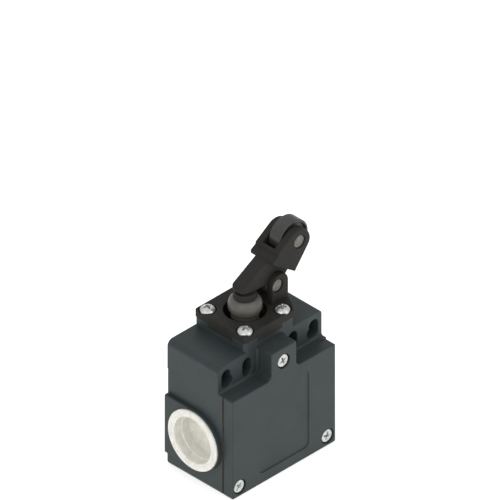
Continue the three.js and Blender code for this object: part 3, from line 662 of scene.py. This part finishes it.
OVER = 1 * MM
CIRCLE_STEPS = 48
WIDE_STEPS = 96
HOLE_STEPS = 24
MITRE_LIMIT = 0.3


def circle(centre, radius, steps=CIRCLE_STEPS):
    turns = [2 * math.pi * i / steps for i in range(steps)]
    return [Vector((centre[0] + radius * math.cos(a), centre[1] + radius * math.sin(a))) for a in turns]


def rectangle(low, high, fillet=0.0, steps=6):
    corners = [(low[0], low[1]), (high[0], low[1]), (high[0], high[1]), (low[0], high[1])]
    return arc_corners([(*corner, fillet) for corner in corners], steps)


def stadium(centre, radius, travel):
    """An upright slot's outline."""
    points = []
    steps = 12
    for turn, lift in ((0, travel / 2), (math.pi, -travel / 2)):
        for step in range(steps + 1):
            angle = turn + math.pi * step / steps
            points.append(Vector((
                centre[0] + radius * math.cos(angle), centre[1] + lift + radius * math.sin(angle),
            )))
    return points


def inset(points, distance):
    """An outline moved inwards along its corners' mitres, or outwards by a negative distance."""
    count = len(points)
    area = sum(points[i - 1].cross(points[i]) for i in range(count))
    side = 1 if area > 0 else -1
    moved = []
    for i, point in enumerate(points):
        before = (point - points[i - 1]).normalized()
        after = (points[(i + 1) % count] - point).normalized()
        normals = Vector((-before.y, before.x)) + Vector((-after.y, after.x))
        moved.append(point + side * distance * normals / max(MITRE_LIMIT, normals.length_squared / 2))
    return moved


def levels(low, high, at_low=0.0, at_high=0.0):
    """(height, inset) pairs along a prism: a positive radius rounds an end, a negative one flares it."""
    steps = 4

    def end(height, radius, inwards):
        if not radius:
            return [(height, 0.0)]
        quarter = [math.pi / 2 * step / steps for step in range(steps + 1)]
        size = abs(radius)
        rows = [(height + inwards * size * (1 - math.cos(a)), radius * (1 - math.sin(a))) for a in quarter]
        return rows if radius > 0 else [(height - inwards * OVER, radius)] + rows

    return end(low, at_low, 1) + end(high, at_high, -1)[::-1]


def prism(name, outline, axis, rows):
    """Stacks an outline along an axis: outlines are (y, z) for X, (x, z) for Y and (x, y) for Z."""
    bm = bmesh.new()
    rings = []
    for height, distance in rows:
        points = inset(outline, distance) if distance else outline
        rings.append([bm.verts.new(AXES[axis] @ Vector((u, v, height))) for u, v in points])
    for lower, upper in zip(rings, rings[1:]):
        for i in range(len(lower)):
            j = (i + 1) % len(lower)
            bm.faces.new((lower[i], lower[j], upper[j], upper[i]))
    bm.faces.new(rings[0])
    bm.faces.new(rings[-1])
    return new_piece(name, bm)


def block(low, high, fillet=0.0, axis="Z"):
    """A box between two corners, the edges along one axis rounded."""
    index = "XYZ".index(axis)
    across = [k for k in range(3) if k != index]
    outline = rectangle([low[k] for k in across], [high[k] for k in across], fillet)
    return prism("block", outline, axis, levels(low[index], high[index]))


def rod_of(axis, centre, radius, low, high, at_low=0.0, at_high=0.0, steps=CIRCLE_STEPS):
    return prism("rod", circle(centre, radius, steps), axis, levels(low, high, at_low, at_high))


def shaped(base, joins=(), cuts=(), limits=()):
    """Joins solids to a base, cuts others away, keeps what lies inside the limits, and removes them all."""
    for operation, tools in (("UNION", joins), ("DIFFERENCE", cuts), ("INTERSECT", limits)):
        for tool in tools:
            step = base.modifiers.new("shape", "BOOLEAN")
            step.operation = operation
            step.solver = "EXACT"
            step.object = tool
    baked(base)
    for tool in (*joins, *cuts, *limits):
        bpy.data.objects.remove(tool)
    return base


def settled(piece, node):
    """Names a shaped piece after its node, tidies its mesh and lets it ride on the node's body."""
    piece.name = node + "_finish"
    bm = bmesh.new()
    bm.from_mesh(piece.data)
    bmesh.ops.triangulate(bm, faces=[face for face in bm.faces if len(face.verts) > 4])
    bmesh.ops.remove_doubles(bm, verts=bm.verts, dist=1e-6)
    bmesh.ops.dissolve_degenerate(bm, dist=1e-6, edges=bm.edges)
    bm.to_mesh(piece.data)
    bm.free()
    return ride_home(finished(piece, node), node)


# ---- housing, cover and head

SCREW_HOLE = 1.7 * MM
TAB_HALF = 6 * MM
TAB_FILLET = 2 * MM
LEDGE = 41 * MM
FLANGE_TOP = 51.5 * MM
FLANGE_FRONT = -12 * MM
WALL_HALF = 25 * MM
COVER_SCREW_SPOTS = ((0, 45.8 * MM), (-21.1 * MM, 4 * MM), (21.1 * MM, 4 * MM))
CAVITY_REAR = 8.6 * MM
EARTH_SPOT = (0, 7.6 * MM)
HEAD_HALF = 12 * MM
HEAD_BORE = 7.5 * MM
HEAD_SCREW_SPOTS = [(x, y) for x in (-9 * MM, 9 * MM) for y in (-9 * MM, 9 * MM)]
PLATE_TOP = 58.2 * MM
SKIRT_HALF, SKIRT_DEPTH, REAR_SKIRT_DEPTH = 5.8 * MM, 2.3 * MM, 1.8 * MM
EAR_INNER, EAR_OUTER = 2.95 * MM, 5.1 * MM
PIVOT_BORE, ROLLER_PIN_BORE = 2.5 * MM, 2.55 * MM


def screw_hole(axis, spot, low, high):
    return rod_of(axis, spot, SCREW_HOLE, low, high, steps=HOLE_STEPS)


def cove(axis, spot, fillet, low, high, across=(-1, 1)):
    """A concave fillet for an inner corner: spot is the corner, across the two ways out of it."""
    steps = 6
    sink = 0.3 * MM
    u, v = spot
    a, b = across
    points = [Vector((u - a * sink, v - b * sink)), Vector((u + a * fillet, v - b * sink))]
    for step in range(steps + 1):
        turn = math.pi / 2 * step / steps
        points.append(Vector((u + a * fillet * (1 - math.sin(turn)), v + b * fillet * (1 - math.cos(turn)))))
    points.append(Vector((u - a * sink, v + b * fillet)))
    return prism("cove", points, axis, levels(low, high))


def mirrored(rows):
    """A prism's rows turned round, for the same piece on the other side."""
    return [(-height, shrink) for height, shrink in rows]


def housing_body():
    """The wall, the wider flange above the ledge, the tab, the turret and the two entry pads."""
    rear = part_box("housing")[1].y
    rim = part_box("cover_gasket")[1].y
    base_round, left_round, right_round = 1.6 * MM, 2.4 * MM, 1.5 * MM
    edge = 0.3 * MM
    lower = arc_corners([
        (-WALL_HALF, 0, base_round), (WALL_HALF, 0, base_round), (WALL_HALF, LEDGE), (-WALL_HALF, LEDGE),
    ], 8)
    upper = arc_corners([
        (-WALL_HALF, LEDGE - 4 * MM), (WALL_HALF, LEDGE - 4 * MM),
        (WALL_HALF, FLANGE_TOP, right_round), (-WALL_HALF, FLANGE_TOP, left_round),
    ], 8)
    tab = arc_corners([
        (-2 * TAB_HALF, LEDGE - 2 * MM), (2 * TAB_HALF, LEDGE - 2 * MM), (2 * TAB_HALF, LEDGE),
        (TAB_HALF, LEDGE, TAB_FILLET), (TAB_HALF, FLANGE_TOP), (-TAB_HALF, FLANGE_TOP),
        (-TAB_HALF, LEDGE, TAB_FILLET), (-2 * TAB_HALF, LEDGE),
    ], 8)
    fillet = 0.9 * MM
    coves = [
        cove("X", (FLANGE_FRONT, LEDGE), fillet, *sorted((side * TAB_HALF, side * (WALL_HALF - edge / 2))))
        for side in (-1, 1)
    ]
    corners = [
        cove("Z", (side * TAB_HALF, FLANGE_FRONT), fillet, LEDGE, FLANGE_TOP - edge, (side, -1))
        for side in (-1, 1)
    ]
    body = prism("housing", lower, "Y", levels(rim, rear, 0.15 * MM, edge))
    return shaped(body, [
        prism("flange", upper, "Y", levels(FLANGE_FRONT, rear, edge, edge)),
        prism("tab", tab, "Y", levels(rim, FLANGE_FRONT + 1 * MM, 0.15 * MM)),
        *coves, *corners, turret(), entry_pad(-1), entry_pad(1),
    ])


def turret():
    """The square boss with cut corners that the head sits on."""
    half, chamfer = HEAD_HALF, 1 * MM
    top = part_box("head_gasket")[1].z
    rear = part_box("head_body")[1].y
    outline = [Vector(point) for point in (
        (-half + chamfer, -half), (half - chamfer, -half), (half, -half + chamfer), (half, rear - chamfer),
        (half - chamfer, rear), (-half + chamfer, rear), (-half, rear - chamfer), (-half, -half + chamfer),
    )]
    return prism("turret", outline, "Z", levels(FLANGE_TOP - 2 * MM, top, 0, 0.15 * MM))


ENTRY = Vector((-1.8 * MM, 17.9 * MM))


def entry_pad(side):
    """The raised pad round a conduit entry: half round in front and straight back to the rear face."""
    radius = 12 * MM
    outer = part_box("housing")[1].x
    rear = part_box("housing")[1].y
    outline = [Vector((rear, ENTRY.y - radius)), Vector((rear, ENTRY.y + radius))]
    steps = 40
    for step in range(steps + 1):
        angle = math.pi / 2 + math.pi * step / steps
        outline.append(ENTRY + Vector((radius * math.cos(angle), radius * math.sin(angle))))
    edge = 0.4 * MM
    rows = levels(WALL_HALF - 3 * MM, outer, 0, edge)
    return prism("pad", outline, "X", rows if side > 0 else mirrored(rows))


def housing_cuts():
    """The cavity with its posts and the two entries, the relief behind, and every hole."""
    low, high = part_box("housing")
    rear = high.y
    cavity_low, cavity_high, cavity_half = 3.5 * MM, 38.2 * MM, 21.5 * MM
    entry_radius, post_radius, earth_radius, earth_front = 9.6 * MM, 3.7 * MM, 3.6 * MM, 3.5 * MM
    relief_depth, relief_low, relief_high = 0.45 * MM, 5 * MM, 40 * MM
    entry_ends = (cavity_half - OVER, high.x + OVER)
    bores = [
        rod_of("X", ENTRY, entry_radius, *sorted(side * end for end in entry_ends), steps=WIDE_STEPS)
        for side in (-1, 1)
    ]
    cavity = shaped(
        prism("cavity", rectangle((-cavity_half, cavity_low), (cavity_half, cavity_high), 3 * MM), "Y",
              levels(low.y - OVER, CAVITY_REAR, 0, 0.8 * MM)),
        joins=bores,
        cuts=[
            *[rod_of("Y", spot, post_radius, low.y - 2 * OVER, rear) for spot in COVER_SCREW_SPOTS[1:]],
            rod_of("Y", EARTH_SPOT, earth_radius, earth_front, rear),
        ],
    )
    relief_half = WALL_HALF + OVER + 2 * MM
    relief = block((-relief_half, rear - relief_depth, relief_low), (relief_half, rear + OVER, relief_high),
                   0.1 * MM, "X")
    return [cavity, relief, *turret_cuts(), *slot_cuts(), *screw_cuts()]


def turret_cuts():
    """Notches for the head's skirts, the head's screw holes and the stepped bore for the plunger."""
    half, play = HEAD_HALF, 0.1 * MM
    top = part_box("head_gasket")[1].z
    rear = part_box("head_body")[1].y
    skirt_half, skirt, rear_skirt = SKIRT_HALF + play, SKIRT_DEPTH + play, REAR_SKIRT_DEPTH + play
    floor, screw_end = 53.5 * MM, 50.7 * MM
    bush_radius, bush_end, well_floor = 4.3 * MM, 37 * MM, 50 * MM
    flange_radius, flange_depth = 9.3 * MM, 0.9 * MM
    notches = [
        block((-skirt_half, -half - OVER, floor), (skirt_half, -half + skirt, top + OVER)),
        block((-skirt_half, rear - rear_skirt, floor), (skirt_half, rear + OVER, top + OVER)),
        block((-half - OVER, -skirt_half, floor), (-half + skirt, skirt_half, top + OVER)),
        block((half - skirt, -skirt_half, floor), (half + OVER, skirt_half, top + OVER)),
    ]
    screws = [screw_hole("Z", spot, screw_end, top + OVER) for spot in HEAD_SCREW_SPOTS]
    return notches + screws + [
        rod_of("Z", (0, 0), bush_radius, bush_end, top + OVER),
        rod_of("Z", (0, 0), HEAD_BORE, well_floor, top + OVER, steps=WIDE_STEPS),
        rod_of("Z", (0, 0), flange_radius, top - flange_depth, top + OVER, steps=WIDE_STEPS),
    ]


def slot_cuts():
    """Four upright fixing slots; the outer two bulge inwards at their lower ends."""
    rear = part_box("housing")[1].y
    radius, travel, height = 2.15 * MM, 3 * MM, 45.5 * MM
    outer_x, bulge_x, inner_x, bulge_drop = 21 * MM, 20 * MM, 11 * MM, 1.4 * MM
    rows = levels(FLANGE_FRONT, rear, -0.3 * MM, -0.3 * MM)
    tools = []
    for side in (-1, 1):
        outer = prism("slot", stadium((side * outer_x, height), radius, travel), "Y", rows)
        bulge_spot = (side * bulge_x, height - bulge_drop)
        tools.append(shaped(outer, [prism("bulge", circle(bulge_spot, radius, HOLE_STEPS), "Y", rows)]))
        tools.append(prism("slot", stadium((side * inner_x, height), radius, travel), "Y", rows))
    return tools


def screw_cuts():
    """Holes for the cover's screws, the contact block's two and the earth screw."""
    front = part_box("housing")[0].y
    ends = (-8.4 * MM, -5 * MM, -5 * MM)
    block_screw_x, block_screw_z, depth = 13.3 * MM, 24.4 * MM, 2.5 * MM
    cover = [screw_hole("Y", spot, front - OVER, end) for spot, end in zip(COVER_SCREW_SPOTS, ends)]
    inner = [
        screw_hole("Y", (side * block_screw_x, block_screw_z), CAVITY_REAR - OVER, CAVITY_REAR + depth)
        for side in (-1, 1)
    ]
    earth = screw_hole("Y", EARTH_SPOT, 2.5 * MM, CAVITY_REAR)
    return cover + inner + [earth]


def add_housing():
    settled(shaped(housing_body(), cuts=housing_cuts()), "housing")


def cover_outline(margin=0.0):
    """The cover from the front with its tab, or the same shape smaller by a margin all round."""
    low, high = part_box("front_cover")
    shoulder, corner, tab_corner = 40.8 * MM, 0.6 * MM, 0.5 * MM
    half = high.x - margin
    tab = TAB_HALF - margin
    return arc_corners([
        (-half, low.z + margin, corner), (half, low.z + margin, corner),
        (half, shoulder - margin, corner), (tab, shoulder - margin, TAB_FILLET),
        (tab, high.z - margin, tab_corner), (-tab, high.z - margin, tab_corner),
        (-tab, shoulder - margin, TAB_FILLET), (-half, shoulder - margin, corner),
    ], 8)


def cover_window(low, high):
    """The hollow behind the cover, with the two lower screw posts left standing."""
    window = rectangle((-20.6 * MM, 4.5 * MM), (20.6 * MM, 36.8 * MM), 2.5 * MM)
    return shaped(prism("window", window, "Y", levels(low, high)), cuts=[
        rod_of("Y", spot, 4 * MM, low - OVER, high + OVER) for spot in COVER_SCREW_SPOTS[1:]
    ])


def add_cover():
    """The cover with its sunk panel and its screws' counterbores, and the gasket behind it."""
    low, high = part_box("front_cover")
    skin, sunk = 1.8 * MM, 0.35 * MM
    counterbore, seat = 2.85 * MM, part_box("cover_screw_top")[0].y + 1.8 * MM
    panel = rectangle((-12 * MM, 4.5 * MM), (12 * MM, 36.2 * MM), 2 * MM, 10)
    cover = prism("cover", cover_outline(), "Y", levels(low.y, high.y, 0.35 * MM, 0.12 * MM))
    settled(shaped(cover, cuts=[
        cover_window(low.y + skin, high.y + OVER),
        prism("panel", panel, "Y", levels(low.y, low.y + sunk, -0.12 * MM, 0.12 * MM)),
        *[rod_of("Y", spot, counterbore, low.y, seat, -0.2 * MM) for spot in COVER_SCREW_SPOTS],
        *[screw_hole("Y", spot, low.y, high.y + OVER) for spot in COVER_SCREW_SPOTS],
    ]), "front_cover")
    seam_low, seam_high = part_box("cover_gasket")
    gasket_rows = levels(seam_low.y, seam_high.y, 0.1 * MM, 0.1 * MM)
    gasket = prism("gasket", cover_outline(0.15 * MM), "Y", gasket_rows)
    settled(shaped(gasket, cuts=[
        cover_window(seam_low.y - OVER, seam_high.y + OVER),
        *[screw_hole("Y", spot, seam_low.y - OVER, seam_high.y + OVER) for spot in COVER_SCREW_SPOTS],
    ]), "cover_gasket")


def head_plate():
    """The head's plate: square at three sides, with a shallow arc on the side of the fork."""
    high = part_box("head_body")[1]
    half, rear, nose = HEAD_HALF, high.y, high.x
    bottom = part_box("head_gasket")[1].z
    near, far = 1 * MM, 0.4 * MM
    reach = math.asin(math.sqrt(nose ** 2 - half ** 2) / nose)
    steps = 32
    turns = [reach * (2 * step / steps - 1) for step in range(steps + 1)]
    arc = [(nose * math.cos(turn), nose * math.sin(turn)) for turn in turns]
    outline = [(-half, -half, near), (half, -half, far), *arc, (half, rear, far), (-half, rear, near)]
    return prism("plate", arc_corners(outline), "Z", levels(bottom, PLATE_TOP, 0, 0.35 * MM))


def ear(side):
    """A lug with a round top that carries the lever's pin."""
    left, right, foot, centre_z = 8 * MM, 15.9 * MM, 57 * MM, 65.25 * MM
    radius = (right - left) / 2
    centre_x = left + radius
    steps = 32
    outline = [Vector((left, foot)), Vector((right, foot))]
    for step in range(steps + 1):
        angle = math.pi * step / steps
        outline.append(Vector((centre_x + radius * math.cos(angle), centre_z + radius * math.sin(angle))))
    rows = levels(EAR_INNER, EAR_OUTER, 0.15 * MM, 0.5 * MM)
    return prism("ear", outline, "Y", rows if side > 0 else mirrored(rows))


def skirts():
    """Four tongues under the plate that sit in the turret's notches."""
    half, rear = HEAD_HALF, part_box("head_body")[1].y
    low, high, across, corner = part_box("head_body")[0].z, 56 * MM, SKIRT_HALF, 0.4 * MM
    outline = arc_corners([(-across, low, corner), (across, low, corner), (across, high), (-across, high)])
    return [
        prism("skirt", outline, "Y", levels(-half, -half + SKIRT_DEPTH)),
        prism("skirt", outline, "Y", levels(rear - REAR_SKIRT_DEPTH, rear)),
        prism("skirt", outline, "X", levels(-half, -half + SKIRT_DEPTH)),
        prism("skirt", outline, "X", levels(half - SKIRT_DEPTH, half)),
    ]


def add_head():
    """The head as one casting: plate, skirts and ears, less its bores and the screws' counterbores."""
    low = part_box("head_body")[0].z
    pivot = pin_centre("lever_pin")
    seat, counterbore = 57.4 * MM, 3.15 * MM
    settled(shaped(head_plate(), [*skirts(), ear(-1), ear(1)], [
        rod_of("Z", (0, 0), HEAD_BORE, low - OVER, PLATE_TOP, 0, -0.3 * MM, steps=WIDE_STEPS),
        rod_of("Y", pivot, PIVOT_BORE, -EAR_OUTER, EAR_OUTER, -0.2 * MM, -0.2 * MM),
        *[screw_hole("Z", spot, low, PLATE_TOP + OVER) for spot in HEAD_SCREW_SPOTS],
        *[rod_of("Z", spot, counterbore, seat, PLATE_TOP, 0, -0.2 * MM) for spot in HEAD_SCREW_SPOTS],
    ]), "head_body")
    refined("head_gasket", 0.08 * MM, segments=2)


# ---- lever


def arm_outline():
    """The arm from the side: sloping top, curved nose over the plunger, round hub, web to the fork."""
    low, tip_low, hub = 66.05 * MM, 67.75 * MM, 3.7 * MM
    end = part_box("lever")[0].x
    nose_start = 2 * MM
    pivot = pin_centre("lever_pin")
    steps = 16
    points = [
        Vector((end + (nose_start - end) * t, low + (tip_low - low) * (1 - t) ** 2))
        for t in (step / steps for step in range(steps + 1))
    ]
    points.append(Vector((pivot.x - hub, low)))
    for step in range(steps + 1):
        angle = math.pi * (0.93 + 0.87 * step / steps)
        points.append(pivot + Vector((hub * math.cos(angle), hub * math.sin(angle))))
    web = ((17.7, 67.1), (20.4, 71), (16, 80), (12, 77.9))
    points += [Vector((x * MM, z * MM)) for x, z in web]
    points.append(Vector((end, arm_top(end))))
    return points


def arm_top(x):
    """The height of the arm's sloping top at x."""
    start_x, start_z, slope = 7.6 * MM, 75.95 * MM, 0.606
    return start_z + slope * (x - start_x)


def pin_centre(node):
    """Where a pin's axis crosses the XZ plane."""
    low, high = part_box(node)
    return Vector(((low.x + high.x) / 2, (low.z + high.z) / 2))


def fork_outline():
    """The fork from the side: its round end is a tight arc that runs into a wider one over the top."""
    left, left_low, step_x, step_top = 8.05 * MM, 75 * MM, 10.4 * MM, 78.45 * MM
    points = [Vector((left, left_low)), Vector((18.6 * MM, 67.35 * MM))]
    arcs = (((21.55, 78.15), 4.3, -36.7, 28), ((20.1, 78.1), 5.65, 28, 122))
    steps = 20
    for (x, z), radius, start, end in arcs:
        for step in range(steps + 1):
            angle = math.radians(start + (end - start) * step / steps)
            points.append(Vector(((x + radius * math.cos(angle)) * MM, (z + radius * math.sin(angle)) * MM)))
    points += [Vector((step_x, step_top)), Vector((step_x, arm_top(step_x))), Vector((left, arm_top(left)))]
    return points


def add_lever():
    """Arm and fork as one casting, less its bores and the slot that the roller turns in."""
    low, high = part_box("lever")
    half, fork_half, slot, tip_round = 2.85 * MM, high.y, 2.9 * MM, 2.3 * MM
    arm = prism("arm", arm_outline(), "Y", levels(-half, half, 0.4 * MM, 0.4 * MM))
    plan = arc_corners([
        (low.x, -half, tip_round), (high.x, -half), (high.x, half), (low.x, half, tip_round),
    ], 10)
    arm = shaped(arm, limits=[prism("plan", plan, "Z", levels(60 * MM, high.z + OVER))])
    fork = prism("fork", fork_outline(), "Y", levels(-fork_half, fork_half, 0.45 * MM, 0.45 * MM))
    roller = pin_centre("roller_pin")
    pivot = pin_centre("lever_pin")
    slot_start, slot_floor, roller_room = 11.3 * MM, 76.2 * MM, 7.85 * MM
    beyond = high.x + 6 * MM
    settled(shaped(arm, [fork], [
        rod_of("Y", pivot, PIVOT_BORE, -half, half, -0.2 * MM, -0.2 * MM),
        rod_of("Y", roller, ROLLER_PIN_BORE, -fork_half, fork_half, -0.25 * MM, -0.25 * MM),
        rod_of("Y", roller, roller_room, -slot, slot, steps=WIDE_STEPS),
        block((slot_start, -slot, slot_floor), (beyond, slot, high.z + OVER)),
        block((roller.x - 2 * MM, -slot, roller.y - 12 * MM), (beyond, slot, high.z + OVER)),
    ]), "lever")


# ---- turned pieces


def add_boot():
    """A hollow dome over a waist and a seating flange, stretched between the head and the plunger."""
    low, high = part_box("plunger_boot")
    total = high.z - low.z
    radius, wall, flange, flange_radius, neck = 6 * MM, 1.2 * MM, 1.2 * MM, 7.3 * MM, 2.6 * MM
    shoulder = 10.3 * MM
    ceiling = total - 1.1 * MM
    mouth = neck - 0.4 * MM
    outer = dome(radius, neck + wall, shoulder, total)
    inner = dome(radius - wall, neck, shoulder - 0.4 * MM, ceiling)
    waist, bulge = radius - 1.1 * MM, 3 * MM
    roll = [(radius - (radius - waist) * (1 - h / bulge) ** 2, shoulder - bulge + h)
            for h in (bulge * step / 8 for step in range(1, 9))]
    corners = [
        (radius - wall, 0), (flange_radius, 0, 0.25 * MM), (flange_radius, flange, 0.3 * MM),
        (waist, flange, 0.5 * MM), (waist, shoulder - bulge, 0.2 * MM), *roll, *outer[1:],
        (mouth, total, 0.2 * MM), (mouth, ceiling), *reversed(inner),
    ]
    boot = turned("plunger_boot", corners, closed=True)
    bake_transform(boot)


def dome(wide, narrow, start, end):
    """A quarter of an ellipse that closes in from one radius to another between two heights."""
    points = []
    steps = 20
    for step in range(steps + 1):
        angle = math.pi / 2 * step / steps
        points.append((narrow + (wide - narrow) * math.cos(angle), start + (end - start) * math.sin(angle)))
    return points


def add_plunger():
    """The cap, the rod with its collar, the spring's seat under the collar and the spring."""
    low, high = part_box("plunger_cap")
    total = high.z - low.z
    bore, bore_depth = 2.3 * MM, 1.45 * MM
    brim, brim_top, cap = 4.2 * MM, 1.25 * MM, 4.0 * MM
    ride_home(turned("plunger_cap", [
        (0, bore_depth), (bore, bore_depth), (bore, 0, 0.1 * MM), (brim, 0, 0.45 * MM),
        (brim, brim_top, 0.15 * MM), (cap, brim_top + 0.05 * MM, 0.1 * MM),
        (cap, total, 0.5 * MM), (0, total),
    ]), "plunger_cap")
    rod_low, rod_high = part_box("plunger_rod")
    seat_low, seat_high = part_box("spring_seat")
    stem, wide = 2 * MM, 2.8 * MM
    collar = seat_high.z - rod_low.z
    collar_top = collar + 0.8 * MM
    length = rod_high.z - rod_low.z
    ride_home(turned("plunger_rod", [
        (0, 0), (stem, 0, 0.4 * MM), (stem, collar), (wide, collar, 0.15 * MM),
        (wide, collar_top, 0.15 * MM), (stem, collar_top), (stem, length, 0.2 * MM), (0, length),
    ], segments=64), "plunger_rod")
    seat = ring(2.1 * MM, 4.3 * MM, seat_high.z - seat_low.z, 0.12 * MM)
    ride_home(turned("spring_seat", seat, closed=True), "spring_seat")
    spring = coil("plunger_spring", 3.5 * MM, 0.35 * MM)
    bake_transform(spring)


def ring(inner, outer, height, fillet):
    """A plain washer's section."""
    return [(inner, 0, fillet), (outer, 0, fillet), (outer, height, fillet), (inner, height, fillet)]


def add_bush():
    low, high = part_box("guide_bush")
    total = high.z - low.z
    step = total - 1.2 * MM
    bore, body, flange = 2.1 * MM, 4.2 * MM, 4.6 * MM
    ride_home(turned("guide_bush", [
        (bore, 0, 0.2 * MM), (body, 0, 0.3 * MM), (body, step),
        (flange, step, 0.1 * MM), (flange, total, 0.2 * MM), (bore, total, 0.25 * MM),
    ], closed=True), "guide_bush")


def add_roller():
    """A wheel with a hub and a rim, dished between them on both faces."""
    low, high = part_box("roller")
    width = high.y - low.y
    radius = (high.z - low.z) / 2
    bore, hub, rim, dish, draft = ROLLER_PIN_BORE, 3.45 * MM, radius - 0.8 * MM, 1.2 * MM, 0.25 * MM
    near = [
        (bore, 0, 0.1 * MM), (hub, 0, 0.12 * MM), (hub + draft, dish, 0.15 * MM),
        (rim - draft, dish, 0.15 * MM), (rim, 0, 0.12 * MM), (radius, 0, 0.4 * MM),
    ]
    corners = near + [(r, width - h, fillet) for r, h, fillet in reversed(near)]
    ride_home(turned("roller", corners, "Y", 128, closed=True), "roller")


def add_pins():
    for node in ("lever_pin", "roller_pin"):
        low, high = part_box(node)
        length = high.y - low.y
        radius = (high.z - low.z) / 2
        ride_home(turned(node, [
            (0, 0), (radius, 0, 0.3 * MM), (radius, length, 0.3 * MM), (0, length),
        ], "Y", 96), node)


def add_caps():
    """Screwed plugs: a flange with a rolled rim and a deep cup with one step."""
    for side, node in ((-1, "conduit_cap_left"), (1, "conduit_cap_right")):
        low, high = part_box(node)
        total = high.x - low.x
        flange = (high.x if side > 0 else -low.x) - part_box("housing")[1].x
        flange_radius, neck, cup = 11.65 * MM, 9.3 * MM, 8.5 * MM
        step, lip, ledge, depth = 0.3 * MM, 0.12 * MM, 3.6 * MM, 7.6 * MM
        wide = cup + step
        rolled = wide + 1.15 * MM

        def at(distance):
            """Heights are counted outwards from the plug's inner end."""
            return distance if side > 0 else total - distance

        seat, edge, shelf, bottom = (at(total - below) for below in (flange, lip, ledge, depth))
        corners = [
            (0, at(0)), (neck, at(0), 0.6 * MM), (neck, seat),
            (flange_radius, seat, 0.15 * MM), (flange_radius, at(total), 0.45 * MM),
            (rolled, at(total), 0.1 * MM), (wide + 1.05 * MM, edge), (wide, edge, 0.5 * MM),
            (wide, shelf, 0.1 * MM), (cup, at(total - ledge - step), 0.1 * MM),
            (cup, bottom, 0.5 * MM), (0, bottom),
        ]
        ride_home(turned(node, corners, "X", 144), node)


# ---- contact block


def add_contact_block():
    """The two halves of the block, the carrier and everything that is clamped or screwed to them."""
    refined("contact_block_base", 0.25 * MM)
    refined("contact_block_cover", 0.12 * MM)
    refined("contact_carrier", 0.15 * MM)
    for label in ("nc", "no"):
        refined("bridge_contact_" + label, 0.08 * MM, segments=2)
    for label in ("no_left", "no_right", "nc_left", "nc_right"):
        refined("terminal_" + label, 0.12 * MM)
        refined("clamp_washer_" + label, 0.12 * MM)
    refined("earth_washer", 0.12 * MM)
    spring = coil("carrier_spring", 1.6 * MM, 0.22 * MM, per_turn=32)
    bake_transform(spring)


add_housing()
add_cover()
add_head()
add_lever()
add_screws()
add_boot()
add_plunger()
add_bush()
add_roller()
add_pins()
add_caps()
add_contact_block()
